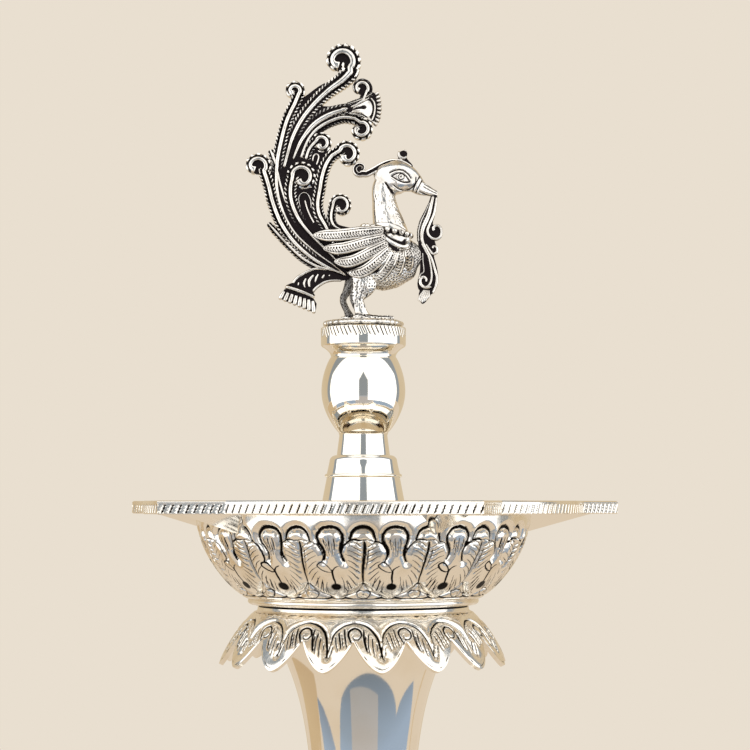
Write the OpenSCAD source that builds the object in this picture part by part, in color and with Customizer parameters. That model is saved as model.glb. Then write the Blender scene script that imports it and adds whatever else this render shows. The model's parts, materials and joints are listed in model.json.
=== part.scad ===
// Standing oil lamp in silver: a weighted foot, a column, a five-spouted bowl, a stem and a peacock finial.
// The origin is on the lamp's axis, at the surface it stands on. The peacock looks towards +X.

/* [Foot and base] */
// Radius of the rope-cut foot band
foot_r = 52; // [48:0.5:58]
// Height of the foot band
foot_h = 5.5; // [4:0.5:8]
// Width of the foot band, from outside to inside
foot_w = 5; // [3:0.5:8]
// Thickness of the cover that closes the underside
cover_t = 1.2; // [0.8:0.1:2]
// Step from the foot band in to the dome
dome_step = 1.5; // [0.5:0.25:3]
// Radius of the dome at its top
dome_top_r = 21; // [18:0.5:26]
// Height of the dome
dome_h = 28; // [20:1:40]
// Thickness of the silver sheet in dome, bowl and column
sheet_t = 1.2; // [0.8:0.1:1.6]
// Radius of the ring on the dome
base_ring_r = 22; // [20:0.5:26]
// Height of the ring on the dome
base_ring_h = 4.5; // [3:0.5:7]

/* [Column] */
// Radius of the lower column at its foot
lower_foot_r = 19; // [15:0.5:21]
// Radius of the lower column at its waist
lower_waist_r = 9.8; // [8:0.2:12]
// Height of the lower column
lower_h = 46; // [30:1:70]
// Height over which the lower column's flare dies out
lower_flare_h = 11; // [7:0.5:16]
// Radius of the two rings at the knop
knop_ring_r = 13; // [12.5:0.25:15]
// Height of each ring at the knop
knop_ring_h = 2.5; // [1.5:0.25:4]
// Radius of the knop
knop_r = 16.5; // [14:0.5:20]
// Radius of the knop's necks
knop_neck_r = 10.5; // [9:0.25:12]
// Height of the knop
knop_h = 20; // [14:1:26]
// Radius of the upper column at its waist
waist_r = 11.5; // [10:0.25:14]
// Radius of the upper column at its top
column_top_r = 25.9; // [22:0.1:26]
// Height of the upper column
column_h = 113; // [80:1:150]
// Height over which the top flare dies out
column_flare_h = 16.7; // [12:0.1:22]
// How far the column's foot stands out from its waist
column_foot_flare = 0.8; // [0:0.1:1.2]
// Thickness of the plug that closes the column's top
plug_t = 3; // [2:0.5:5]

/* [Skirt and bowl] */
// Radius of the skirt's collar
skirt_top_r = 26; // [26:0.25:28]
// Radius of the skirt at its tips
skirt_tip_r = 35.7; // [32:0.1:40]
// Height from the skirt's flat top to its tips
skirt_h = 12.8; // [9:0.1:16]
// Height of the notches between the tips
skirt_notch_h = 6.9; // [4:0.1:8]
// Thickness of the skirt
skirt_t = 1; // [0.6:0.1:1.4]
// Number of leaf tips round the skirt
skirt_tips = 16; // [12:1:20]
// Radius of the ring under the bowl
bowl_ring_r = 28; // [26:0.5:30]
// Height of the ring under the bowl
bowl_ring_h = 3; // [2:0.25:4]
// Radius of the bowl at its foot
bowl_foot_r = 28; // [27:0.2:31]
// Radius of the bowl at its mouth
bowl_r = 41.5; // [38:0.5:45]
// Height of the bowl
bowl_h = 21.7; // [18:0.1:26]
// Thickness of the oil dish inside the bowl
dish_t = 1; // [0.6:0.1:1.2]
// Gap between the bowl and the oil dish in it
dish_gap = 0.3; // [0.2:0.1:0.6]

/* [Plate and spouts] */
// Width of the flat plate outside the bowl
plate_brim = 13; // [9:0.5:16]
// How far the tips of the spouts reach past the plate
spout_reach = 10.5; // [7:0.5:14]
// Half angle of a spout at its tip
spout_tip_angle = 42.7; // [38:0.1:46]
// Direction of the first spout, from +X towards +Y
spout_angle = -63; // [-80:1:-50]
// Height of the rope-cut rim
rim_h = 3.25; // [2.5:0.25:4.5]
// Thickness of the rim
rim_t = 1.6; // [1:0.1:2.5]
// How far the rim stands above the plate
rim_lip = 1.4; // [0.8:0.1:1.6]
// Half width of a wick channel where it leaves the bowl
channel_half_w = 5.6; // [4:0.1:7]
// Depth of a wick channel where it leaves the bowl
channel_d = 6.2; // [4:0.1:8]
// Thickness of the folded wick channel
channel_t = 0.9; // [0.6:0.1:1.2]

/* [Stem] */
// Radius of the stem's cone at its bottom
cone_r = 11.6; // [11:0.1:13]
// Radius of the stem's cone at its top
cone_top_r = 9.1; // [8.5:0.1:9.4]
// Height of the stem's cone
cone_h = 13.1; // [10:0.1:18]
// Radius of the thin ring on the cone
stem_ring_r = 9.6; // [9.4:0.1:11]
// Height of the thin ring
stem_ring_h = 0.9; // [0.6:0.1:1.5]
// Radius of the collar's rounded shoulder
collar_r = 8.3; // [7.6:0.1:9]
// Height of the collar
collar_h = 4.7; // [3.5:0.1:6]
// Radius of the neck under the bulb
neck_r = 5.9; // [5.6:0.1:7]
// Height of the neck under the bulb
neck_h = 5.4; // [4:0.1:8]
// Radius of the bulb
bulb_r = 10.45; // [9:0.05:12]
// Height of the bulb from its lower neck to its widest place
bulb_low_h = 10.5; // [8:0.1:13]
// Height of the bulb from its widest place to its upper neck
bulb_high_h = 8.5; // [6:0.1:11]
// Radius of the bulb's upper neck
bulb_neck_r = 8.1; // [7.5:0.1:9]
// Radius of the engraved cap
cap_r = 10.6; // [10.2:0.1:12]
// Height of the cap's engraved edge
cap_edge_h = 4.65; // [3:0.05:6]
// Height of the cap's curved throat
cap_throat_h = 2.75; // [2:0.05:4]

/* [Screws] */
// Radius of the rod that holds the base and carries the bowl
rod_r = 5; // [4:0.25:5.5]
// Radius of the rod that holds the stem
stem_rod_r = 4; // [3:0.25:4.5]
// Radius of the finial's stud
stud_r = 2.5; // [2:0.25:3]
// Radial clearance of a screw in its hole
screw_gap = 0.05; // [0.03:0.01:0.1]
// Length of the rod that the bowl screws on to
bowl_screw_l = 8.4; // [6:0.1:9]
// Length of the stem's screw in the hub
stem_screw_l = 9.9; // [7:0.1:10.4]
// Length of the finial's screw in the cap
finial_screw_l = 7.3; // [5:0.1:7.3]
// Thickness of the bowl's washer
bowl_washer_t = 0.8; // [0.5:0.1:1.5]
// Thickness of the stem's washer
stem_washer_t = 0.6; // [0.5:0.1:1.2]
// Thickness of the finial's washer
finial_washer_t = 0.6; // [0.5:0.1:1]
// Gap between a washer and the piece that it seats
seat_gap = 0.1; // [0.05:0.05:0.2]
// Radius of the hub in the bowl
hub_r = 10; // [9:0.25:11]
// Height of the hub in the bowl
hub_h = 20.1; // [19.5:0.1:24]
// Half width across the flats of the nut under the base
nut_half_w = 8; // [7.5:0.5:10]
// Height of the nut under the base
nut_h = 5; // [4:0.5:6]

/* [Peacock] */
// Height of the peacock over its perch
bird_h = 70; // [60:1:80]
// Radius of the perch
perch_r = 10.1; // [9.5:0.1:10.6]
// Thickness of the perch
perch_t = 1.5; // [1:0.1:2.5]
// Thickness of the tail
tail_t = 3.2; // [2.4:0.1:4]
// Thickness of a wing feather
wing_t = 1.6; // [1.2:0.1:2.2]
// Radius of a bead on the collar
bead_r = 1; // [1:0.02:1.2]
// Thickness of the crest, garland and tassel
trim_t = 2.4; // [1.8:0.1:3]

/* [Hidden] */

// Smoothness of turned pieces, and of beads
turned_fn = 96;
bead_fn = 20;
scroll_fn = 32;
// Overrun of every cut
cut = 2;
// Slack of the rods in the discs that they pass through
rod_gap = 0.05;

// Heights from the surface up
dome_z = foot_h;
base_ring_z = dome_z + dome_h;
lower_z = base_ring_z + base_ring_h;
knop_lower_z = lower_z + lower_h;
knop_z = knop_lower_z + knop_ring_h;
knop_upper_z = knop_z + knop_h;
column_z = knop_upper_z + knop_ring_h;
column_top_z = column_z + column_h;
bowl_washer_z = column_top_z;
skirt_z = bowl_washer_z + bowl_washer_t + seat_gap;
bowl_ring_z = skirt_z + skirt_t;
bowl_z = bowl_ring_z + bowl_ring_h;
bowl_top_z = bowl_z + bowl_h;
plate_r = bowl_r + plate_brim;
spout_tip_r = plate_r + spout_reach;
plate_t = dish_t;
plate_top_z = bowl_top_z + plate_t;
rim_top_z = plate_top_z + rim_lip;
hub_top_z = skirt_z + hub_h;
cone_z = hub_top_z + stem_washer_t + seat_gap;
stem_ring_z = cone_z + cone_h;
collar_z = stem_ring_z + stem_ring_h;
neck_z = collar_z + collar_h;
bulb_z = neck_z + neck_h;
cap_z = bulb_z + bulb_low_h + bulb_high_h;
cap_top_z = cap_z + cap_throat_h + cap_edge_h;
finial_washer_z = cap_top_z + seat_gap - finial_washer_t;
perch_z = cap_top_z + seat_gap + seat_gap;
perch_top_z = perch_z + perch_t;

// Radii and depths that follow from them
foot_in_r = foot_r - foot_w;
dome_r = foot_r - dome_step;
ballast_clear = sheet_t;
nut_washer_t = sheet_t;
nut_z = cover_t + sheet_t;
nut_washer_z = nut_z + nut_h;
ballast_z = nut_washer_z + nut_washer_t;
rod_foot_z = nut_z;
rod_top_z = skirt_z + bowl_screw_l;
hub_low_d = bowl_screw_l + rod_gap * 4;
hub_high_d = stem_screw_l + rod_gap * 4;
stem_rod_z = hub_top_z + stem_washer_t + seat_gap - stem_screw_l;
stem_rod_top_z = cap_z - seat_gap;
neck_top_share = 1.12;
bowl_swell = 0.7;
skirt_swell = 0.65;
bulb_swell = 0.8;
knop_swell = 0.75;
skirt_tip_swell = 1.7;
// Direction of one skirt tip, from +X towards +Y
skirt_angle = -82.9;

// The spouts were bent by hand, so each leans a little from its place
spouts = 5;
spout_lean_angles = [-2.6, -1, 0, 4.5, -1.5];
spout_angles = [for (i = [0:spouts - 1]) spout_angle + i * 360 / spouts + spout_lean_angles[i]];
edge_fn = 16;
channel_in_r = bowl_r - 2 * dish_t - dish_gap;
channel_tip_r = spout_tip_r - rim_t / sin(spout_tip_angle) - rim_t;

// Places on the peacock, in pixels of the photograph: its height, and the middle of the perch
bird_px = 280;
perch_px = [367.5, 322];
bird_unit = bird_h / bird_px;

function even(a, b, n) = [for (i = [0:n]) a + (b - a) * i / n];
function backwards(list) = [for (i = [len(list) - 1:-1:0]) list[i]];
function swell(t, power) = pow(sin(90 * t), power);

// Radius of each turned surface at height z
function dome_at(z) = dome_top_r + (dome_r - dome_top_r) * swell(1 - (z - dome_z) / dome_h, bowl_swell);
function lower_at(z) = lower_waist_r + (lower_foot_r - lower_waist_r) * exp(-(z - lower_z) / lower_flare_h);
function column_at(z) = waist_r + (column_top_r - waist_r) * exp(-(column_top_z - z) / column_flare_h)
    + column_foot_flare * exp(-(z - column_z) / lower_flare_h);
function knop_at(t) = knop_neck_r + (knop_r - knop_neck_r) * pow(sin(180 * t), knop_swell);
function bowl_at(z) = bowl_foot_r + (bowl_r - bowl_foot_r) * swell((z - bowl_z) / bowl_h, bowl_swell);
function skirt_at(z) = skirt_top_r
    + (skirt_tip_r - skirt_top_r) * pow((bowl_ring_z - z) / skirt_h, skirt_swell);
function bulb_at(z) = z < bulb_z + bulb_low_h
    ? neck_r + (bulb_r - neck_r) * swell((z - bulb_z) / bulb_low_h, bulb_swell)
    : bulb_neck_r + (bulb_r - bulb_neck_r) * swell((cap_z - z) / bulb_high_h, bulb_swell);

module turned(points) {
    rotate_extrude($fn = turned_fn) polygon(points);
}

// A turned sheet: the outside, and the same line set in by the thickness
module turned_sheet(outside, thickness) {
    turned(concat(outside, [for (p = backwards(outside)) [p[0] - thickness, p[1]]]));
}

module ring(r, hole_r, h, z) {
    translate([0, 0, z]) difference() {
        cylinder(r = r, h = h, $fn = turned_fn);
        translate([0, 0, -cut]) cylinder(r = hole_r, h = h + 2 * cut, $fn = turned_fn);
    }
}

module rod(r, from_z, to_z) {
    translate([0, 0, from_z]) cylinder(r = r, h = to_z - from_z, $fn = turned_fn);
}

// A turned dish: its wall, set in by t from the line of its side, and a floor round the hub
module turned_dish(side, t) {
    floor_z = side[0][1];
    inside = [for (p = side) if (p[1] > floor_z + t) [p[0] - t, p[1]]];
    turned(concat(
        side, backwards(inside), [[side[1][0] - 2 * t, floor_z + t], [hub_r, floor_z + t], [hub_r, floor_z]]
    ));
}

// A ring whose edge is a half round, as on a turned bead moulding
module bead_ring(r, hole_r, h, z) {
    edge = h / 2;
    turned(concat(
        [[hole_r, z], [r - edge, z]],
        [for (a = [-75:15:75]) [r - edge + edge * cos(a), z + edge + edge * sin(a)]],
        [[r - edge, z + h], [hole_r, z + h]]
    ));
}

module base_cover() {
    color("silver") rod(foot_in_r, 0, cover_t);
}

module foot_band() {
    color("silver") ring(foot_r, foot_in_r, foot_h, 0);
}

module base_dome() {
    color("silver") turned_sheet([for (z = even(dome_z, base_ring_z, 14)) [dome_at(z), z]], sheet_t);
}

// The filling that gives the foot its weight, a sheet's thickness clear of the dome
module ballast() {
    top_z = base_ring_z - ballast_clear;
    wall = sheet_t + ballast_clear;
    low = [for (z = even(ballast_z, top_z, 8)) [dome_at(z) - wall, z]];
    color("dimgray") turned(concat([[rod_r + rod_gap, ballast_z]], low, [[rod_r + rod_gap, top_z]]));
}

module base_nut() {
    color("gray") translate([0, 0, nut_z]) difference() {
        cylinder(r = nut_half_w / cos(30), h = nut_h, $fn = 6);
        translate([0, 0, -cut]) cylinder(r = rod_r, h = nut_h + 2 * cut, $fn = turned_fn);
    }
}

module base_nut_washer() {
    color("gray") ring(nut_half_w * 2, rod_r + rod_gap, nut_washer_t, nut_washer_z);
}

module centre_rod() {
    color("gray") rod(rod_r, rod_foot_z, rod_top_z);
}

module base_ring() {
    color("silver") bead_ring(base_ring_r, rod_r + rod_gap, base_ring_h, base_ring_z);
}

module lower_column() {
    color("silver") turned_sheet([for (z = even(lower_z, knop_lower_z, 20)) [lower_at(z), z]], sheet_t);
}

module knop_lower_ring() {
    color("silver") bead_ring(knop_ring_r, rod_r + rod_gap, knop_ring_h, knop_lower_z);
}

module knop() {
    side = [for (t = even(0, 1, 16)) [knop_at(t), knop_z + t * knop_h]];
    color("silver") turned_sheet(side, sheet_t);
}

module knop_upper_ring() {
    color("silver") bead_ring(knop_ring_r, rod_r + rod_gap, knop_ring_h, knop_upper_z);
}

module upper_column() {
    color("silver") turned_sheet([for (z = even(column_z, column_top_z, 40)) [column_at(z), z]], sheet_t);
}

module column_plug() {
    side = [for (z = even(column_top_z - plug_t, column_top_z, 3)) [column_at(z) - sheet_t, z]];
    hole_r = rod_r + rod_gap;
    color("silver") turned(concat(
        [[hole_r, column_top_z - plug_t]], side, [[hole_r, column_top_z]]
    ));
}

module bowl_washer() {
    color("saddlebrown") ring(hub_r * 2, rod_r + screw_gap, bowl_washer_t, bowl_washer_z);
}

// The hub takes the rod's end from below and the stem's screw from above
module hub() {
    color("silver") difference() {
        rod(hub_r, skirt_z, hub_top_z);
        rod(rod_r + screw_gap, skirt_z - cut, skirt_z + hub_low_d);
        rod(stem_rod_r + screw_gap, hub_top_z - hub_high_d, hub_top_z + cut);
    }
}

// One notch of the skirt: a pointed arch between two round leaf tips
module skirt_notch(angle) {
    half = skirt_tip_r * sin(180 / skirt_tips);
    tip_z = bowl_ring_z - skirt_h;
    arch = [for (u = even(-1, 1, 12)) [u * half, tip_z + skirt_notch_h * pow(1 - abs(u), skirt_tip_swell)]];
    rotate([0, 0, angle]) translate([skirt_top_r, 0, 0]) rotate([90, 0, 90])
        linear_extrude(skirt_tip_r) polygon(concat(
            [[-half, tip_z - cut]], arch, [[half, tip_z - cut]]
        ));
}

module leaf_skirt() {
    tip_z = bowl_ring_z - skirt_h;
    side = [for (z = even(skirt_z, tip_z, 10)) [skirt_at(z), z]];
    color("silver") difference() {
        union() {
            ring(skirt_at(skirt_z) - skirt_t / 2, hub_r, skirt_t, skirt_z);
            turned_sheet(concat([[skirt_top_r, bowl_ring_z]], side), skirt_t);
        }
        for (i = [0:skirt_tips - 1]) skirt_notch((i + 0.5) * 360 / skirt_tips + skirt_angle);
    }
}

module bowl_ring() {
    color("silver") bead_ring(bowl_ring_r, hub_r * 2, bowl_ring_h, bowl_ring_z);
}

// The keel of a wick channel: three-sided, wide and deep at the bowl, closing at the spout's tip
module channel_keel(angle) {
    back_r = channel_in_r - dish_t;
    half = channel_half_w;
    rotate([0, 0, angle]) translate([0, 0, bowl_top_z]) polyhedron(
        points = [[back_r, -half, 0], [back_r, half, 0], [back_r, 0, -channel_d], [channel_tip_r, 0, 0]],
        faces = [[0, 1, 3], [0, 2, 1], [0, 3, 2], [1, 2, 3]]
    );
}

// The hollow that the wick lies in, open at the top
module channel_hollow(angle) {
    back_r = channel_in_r - dish_t - cut;
    share = 1 - channel_t * norm([channel_half_w, channel_d]) / (channel_half_w * channel_d);
    half = channel_half_w * share;
    depth = channel_d * share;
    tip_r = channel_tip_r - 2 * channel_t;
    rotate([0, 0, angle]) translate([0, 0, bowl_top_z]) polyhedron(
        points = [[back_r, -half, 0], [back_r, half, 0], [back_r, 0, -depth], [tip_r, 0, 0],
                  [back_r, -half, cut], [back_r, half, cut], [tip_r, 0, cut]],
        faces = [[4, 0, 2, 1, 5], [0, 3, 2], [1, 2, 3], [0, 4, 6, 3], [1, 3, 6, 5], [4, 5, 6]]
    );
}

module bowl_shell() {
    side = [for (z = even(bowl_z, bowl_top_z, 14)) [bowl_at(z), z]];
    color("silver") difference() {
        turned_dish(side, sheet_t);
        for (a = spout_angles) channel_keel(a);
    }
}

// The edge of the plate with its five pointed spouts, set in by t
function spout_half_angle(t) =
    asin((spout_tip_r * sin(spout_tip_angle) - t) / (plate_r - t)) - spout_tip_angle;
function plate_edge(t) = [
    for (i = [0:spouts - 1])
        let (
            from = spout_angles[i] + spout_half_angle(t),
            to = spout_angles[(i + 1) % spouts] + (i == spouts - 1 ? 360 : 0) - spout_half_angle(t),
            tip_r = spout_tip_r - t / sin(spout_tip_angle)
        )
        for (p = concat([[tip_r, spout_angles[i]]], [for (a = even(from, to, edge_fn)) [plate_r - t, a]]))
            p[0] * [cos(p[1]), sin(p[1])]
];

module plate_shape(t, z, h) {
    translate([0, 0, z]) linear_extrude(h) polygon(plate_edge(t));
}

// The flat plate round the dish, slit over each wick channel
module top_plate() {
    color("silver") difference() {
        plate_shape(rim_t, bowl_top_z, plate_t);
        rod(bowl_r - sheet_t - dish_gap, bowl_top_z - cut, plate_top_z + cut);
        for (a = spout_angles) channel_hollow(a);
    }
}

module oil_dish() {
    floor_z = bowl_z + sheet_t + dish_gap;
    inset = sheet_t + dish_gap;
    side = [for (z = even(floor_z, plate_top_z, 14)) [bowl_at(min(z, bowl_top_z)) - inset, z]];
    color("silver") difference() {
        turned_dish(side, dish_t);
        for (a = spout_angles) channel_keel(a);
        for (a = spout_angles) channel_hollow(a);
    }
}

module rim_band() {
    low_z = rim_top_z - rim_h;
    color("silver") difference() {
        plate_shape(0, low_z, rim_h);
        plate_shape(rim_t, low_z - cut, rim_h + 2 * cut);
    }
}

module wick_spouts() {
    color("silver") for (a = spout_angles) difference() {
        channel_keel(a);
        channel_hollow(a);
    }
}

module stem_washer() {
    color("saddlebrown") ring(hub_r - stem_washer_t, stem_rod_r + screw_gap, stem_washer_t, hub_top_z);
}

module stem_rod() {
    color("gray") rod(stem_rod_r, stem_rod_z, stem_rod_top_z);
}

// A turned piece of the stem, bored for its rod
module stem_turned(side) {
    hole_r = stem_rod_r + rod_gap;
    color("silver") turned(concat(
        [[hole_r, side[0][1]]], side, [[hole_r, side[len(side) - 1][1]]]
    ));
}

module stem_cone() {
    stem_turned([[cone_r, cone_z], [cone_top_r, stem_ring_z]]);
}

module stem_ring() {
    color("silver") bead_ring(stem_ring_r, stem_rod_r + rod_gap, stem_ring_h, stem_ring_z);
}

// The collar is a drum with a rounded shoulder
module stem_collar() {
    shoulder = collar_h / 4;
    stem_turned(concat(
        [[cone_top_r, collar_z]],
        [for (a = [0:15:90]) [
            neck_r * neck_top_share + (collar_r - neck_r * neck_top_share) * cos(a),
            neck_z - shoulder + shoulder * sin(a)
        ]]
    ));
}

module stem_bulb() {
    stem_turned(concat(
        [for (t = even(0, 1, 5)) [neck_r * (neck_top_share + (1 - neck_top_share) * t), neck_z + neck_h * t]],
        [for (z = even(bulb_z, cap_z, 20)) [bulb_at(z), z]]
    ));
}

// The cap is bored for the finial's stud, with a seat for its washer
module stem_cap() {
    edge_z = cap_z + cap_throat_h;
    hole_r = stud_r + screw_gap;
    color("silver") difference() {
        turned(concat(
            [[hole_r, cap_z]],
            [for (t = even(0, 1, 6))
                [bulb_neck_r + (cap_r - bulb_neck_r) * pow(t, 2), cap_z + cap_throat_h * t]],
            [[cap_r, cap_top_z], [hole_r, cap_top_z]]
        ));
        rod(stud_r * 2 + seat_gap, finial_washer_z, cap_top_z + cut);
    }
}

module finial_washer() {
    color("saddlebrown") ring(stud_r * 2, stud_r + screw_gap, finial_washer_t, finial_washer_z);
}

module finial_stud() {
    color("gray") rod(stud_r, perch_z - finial_screw_l, perch_z);
}

module perch() {
    color("silver") rod(perch_r, perch_z, perch_top_z);
}

// A point of the photograph, as a place in the plane of the peacock
function at(p) = [(p[0] - perch_px[0]) * bird_unit, perch_top_z + (perch_px[1] - p[1]) * bird_unit];

// A smooth line through points, with n steps from each to the next
function blend(a, b, c, d, t) = 0.5 * (2 * b + (c - a) * t + (2 * a - 5 * b + 4 * c - d) * t * t
    + (3 * b - a - 3 * c + d) * t * t * t);
function smooth(p, n) = concat(
    [for (i = [0:len(p) - 2]) for (k = [0:n - 1])
        blend(p[max(i - 1, 0)], p[i], p[i + 1], p[min(i + 2, len(p) - 1)], k / n)],
    [p[len(p) - 1]]
);

// A line that closes in on a middle point, as the end of a scroll
function curl(middle, r, from_angle, sweep, n) = [for (k = [1:n])
    let (a = from_angle + sweep * k / n, s = r * (1 - 0.7 * k / n))
    [middle[0] + s * cos(a), middle[1] - s * sin(a)]
];

// A limb along a line of photograph points: oval rings of half width in the plane, and thickness across it
module limb(line, widths, thicknesses, offsets, sides) {
    n = len(line);
    mm = [for (p = line) at(p)];
    rings = [for (i = [0:n - 1])
        let (
            d = mm[min(i + 1, n - 1)] - mm[max(i - 1, 0)],
            across = [-d[1], d[0]] / norm(d),
            t = i / (n - 1),
            w = lookup(t, widths) * bird_unit,
            h = lookup(t, thicknesses) / 2,
            y = lookup(t, offsets)
        )
        for (j = [0:sides - 1])
            let (a = 360 * (j + 0.5) / sides, p = mm[i] + across * w * cos(a))
            [p[0], y + h * sin(a), p[1]]
    ];
    walls = [for (i = [0:n - 2]) for (j = [0:sides - 1])
        let (a = i * sides + j, b = i * sides + (j + 1) % sides)
        for (face = [[a, b, b + sides], [a, b + sides, a + sides]]) face
    ];
    polyhedron(rings, concat(
        walls, [[for (j = [sides - 1:-1:0]) j]], [[for (j = [0:sides - 1]) (n - 1) * sides + j]]
    ));
}

// Trunk, neck and head, each as a line of middles with its half widths
trunk_px = [[338, 262], [352, 259], [367, 258], [383, 259], [397, 259], [409, 258], [418, 256], [425, 255]];
trunk_half_px = [[0, 4], [0.14, 15], [0.29, 24], [0.43, 30], [0.57, 33], [0.71, 30], [0.86, 22], [1, 7]];
neck_px = [[396, 252], [395, 238], [393, 226], [390, 213], [388, 200], [387, 188], [390, 178]];
neck_half_px = [[0, 20], [0.17, 19], [0.33, 16.5], [0.5, 14], [0.67, 12], [0.83, 11], [1, 9]];
head_px = [[379, 180], [386, 178], [394, 178], [403, 178], [412, 180], [419, 184], [424, 188], [431, 191],
    [437, 193], [442, 194]];
head_half_px = [[0, 5], [0.11, 13], [0.22, 16.5], [0.33, 18], [0.44, 16], [0.56, 12], [0.67, 8.5],
    [0.78, 6.5], [0.89, 4.5], [1, 2.5]];
// Thickness of the bird across its plane, as a share of its depth in the plane
trunk_round_share = 0.68;
neck_round_share = 0.85;
head_round_share = 0.7;
function round_of(halves, share) = [for (h = halves) [h[0], 2 * h[1] * share * bird_unit]];
flat = [[0, 0], [1, 0]];

module bird_body() {
    color("silver") {
        limb(smooth(trunk_px, 2), trunk_half_px, round_of(trunk_half_px, trunk_round_share), flat, 16);
        limb(smooth(neck_px, 2), neck_half_px, round_of(neck_half_px, neck_round_share), flat, 14);
        limb(smooth(head_px, 2), head_half_px, round_of(head_half_px, head_round_share), flat, 14);
    }
}

// Each leg: thigh, shank and foot, set out to one side
leg_px = [[369, 277], [367, 288], [361, 300], [364, 310], [366, 317], [368, 321]];
far_leg_px = [[358, 277], [352, 290], [347, 300], [350, 309], [353, 316], [354, 321]];
leg_half_px = [[0, 14], [0.2, 13.5], [0.4, 9.5], [0.6, 6.5], [0.8, 6], [1, 8]];
far_leg_half_px = [[0, 9], [0.2, 6], [0.4, 4], [0.6, 3.4], [0.8, 3.4], [1, 6]];
toe_px = [[357, 319.5], [370, 319.3], [385, 320], [398, 320.5]];
toe_half_px = [[0, 2.5], [0.4, 3], [1, 1.8]];
leg_apart_share = 0.031;
// The far foot stands this much behind the near one
toe_step_px = [12, 0];

module bird_legs() {
    side = bird_h * leg_apart_share;
    color("silver") {
        limb(smooth(leg_px, 2), leg_half_px, round_of(leg_half_px, 0.5), [[0, -side], [1, -side]], 10);
        limb(smooth(far_leg_px, 2), far_leg_half_px, round_of(far_leg_half_px, 0.8),
            [[0, side], [1, side]], 10);
        for (spread = [-1, 0, 1]) limb(toe_px, toe_half_px, round_of(toe_half_px, 1),
            [[0, -side], [1, -side + spread * side]], 6);
        limb([for (p = toe_px) p - toe_step_px], toe_half_px, round_of(toe_half_px, 1),
            [[0, side], [1, side]], 6);
    }
}

// Tail feathers: the line of the middle wire, the half width, then the scroll's middle and radius
tail_feathers_px = [
    [[[351, 277], [337, 265], [318, 247], [302, 226], [292, 205], [288, 185], [288, 165], [293, 145],
      [301, 125], [313, 107], [330, 91], [344, 81], [353, 72]], 6, [345, 60], 18],
    [[[351, 277], [336, 262], [318, 243], [304, 222], [296, 200], [294, 182], [296, 165], [304, 147],
      [316, 130], [332, 117], [346, 110], [358, 107]], 5.5, [364.5, 89], 11.5],
    [[[340, 262], [322, 240], [308, 220], [300, 200], [298, 180], [301, 160], [308, 143], [319, 130],
      [334, 121], [348, 118], [362, 120], [368, 124]], 4.6, [365, 130], 10.5],
    [[[318, 225], [308, 200], [304, 180], [306, 160], [312, 147]], 4.2, [325, 142], 11],
    [[[345, 262], [330, 240], [323, 217], [322, 196], [325, 176], [332, 159], [342, 148]], 4.6,
      [352, 151], 12],
    [[[345, 268], [320, 243], [304, 222], [297, 205], [296, 190]], 4.8, [306, 174], 15],
    [[[366, 234], [352, 232], [342, 227], [336, 219], [335, 210]], 4, [345, 205], 10.5],
    [[[351, 277], [335, 270], [316, 259], [298, 243], [285, 224], [277, 204], [273, 187], [269, 172]], 5.2,
      [262, 164], 12.5],
    [[[351, 277], [337, 266], [318, 252], [299, 234], [287, 212], [281, 190], [281, 165], [285, 142],
      [291, 120], [299, 101]], 4.6, [297.5, 90], 10],
    [[[348, 274], [334, 271], [320, 267], [306, 259], [292, 246], [280, 233], [272, 224]], 3, [], 0],
    [[[290, 205], [283, 180], [280, 165], [275, 150]], 3.4, [], 0],
    [[[355, 107], [366, 101], [372, 95]], 4, [], 0]
];
feather_half_shares = [[0, 0.7], [0.15, 1], [0.85, 1], [1, 0.6]];
// The fan at the end of the second feather, from its root round its edge
fan_px = [[353, 103], [366, 98], [377, 90], [383, 97], [386, 107], [384.5, 117], [380, 124], [367, 116],
    [353, 112]];

// The backing that the feathers stand on
tail_back_px = [[278, 200], [280, 165], [288, 130], [302, 103], [312, 94], [328, 83], [342, 82], [326, 106],
    [354, 103], [354, 114], [335, 121], [320, 134], [322, 150], [335, 150], [329, 170], [325, 195],
    [327, 222], [345, 230], [352, 250], [350, 274], [330, 268], [300, 244]];
tail_back_share = 0.6;

// A flat ribbon along a line of photograph points, rounded at its end
module ribbon(line, half) {
    n = len(line);
    mm = [for (p = line) at(p)];
    sides = [for (s = [1, -1]) [for (i = [0:n - 1])
        let (
            d = mm[min(i + 1, n - 1)] - mm[max(i - 1, 0)],
            w = half * bird_unit * lookup(i / (n - 1), feather_half_shares)
        )
        mm[i] + [-d[1], d[0]] / norm(d) * w * s
    ]];
    polygon(concat(sides[0], backwards(sides[1])));
}

module flat_sheet(thickness) {
    rotate([90, 0, 0]) translate([0, 0, -thickness / 2]) linear_extrude(thickness) children();
}

module bird_tail() {
    color("dimgray") {
        flat_sheet(tail_t) {
            for (f = tail_feathers_px) {
                ribbon(smooth(f[0], 2), f[1]);
                if (f[3] > 0) translate(at(f[2])) circle(r = f[3] * bird_unit, $fn = scroll_fn);
            }
            polygon([for (p = fan_px) at(p)]);
        }
        flat_sheet(tail_t * tail_back_share) polygon([for (p = tail_back_px) at(p)]);
    }
}

// Wing feathers, from the shoulder out
wing_feathers_px = [
    [[388, 233], [365, 236], [340, 238], [317, 237]],
    [[390, 240], [368, 246], [346, 251], [327, 250]],
    [[392, 246], [374, 256], [355, 264], [338, 263]],
    [[395, 251], [382, 264], [367, 274], [352, 275]],
    [[399, 254], [393, 267], [385, 277], [375, 283]],
    [[404, 254], [403, 264], [400, 273], [395, 280]],
    [[410, 252], [412, 260], [411, 268], [408, 274]]
];
wing_half_px = [[0, 4], [0.3, 6], [0.8, 6], [1, 3]];
// Distance of a feather from the bird's middle plane, from shoulder to tip, as shares of its height
wing_out_shares = [[0, 0.075], [0.35, 0.078], [0.7, 0.056], [1, 0.033]];

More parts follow.
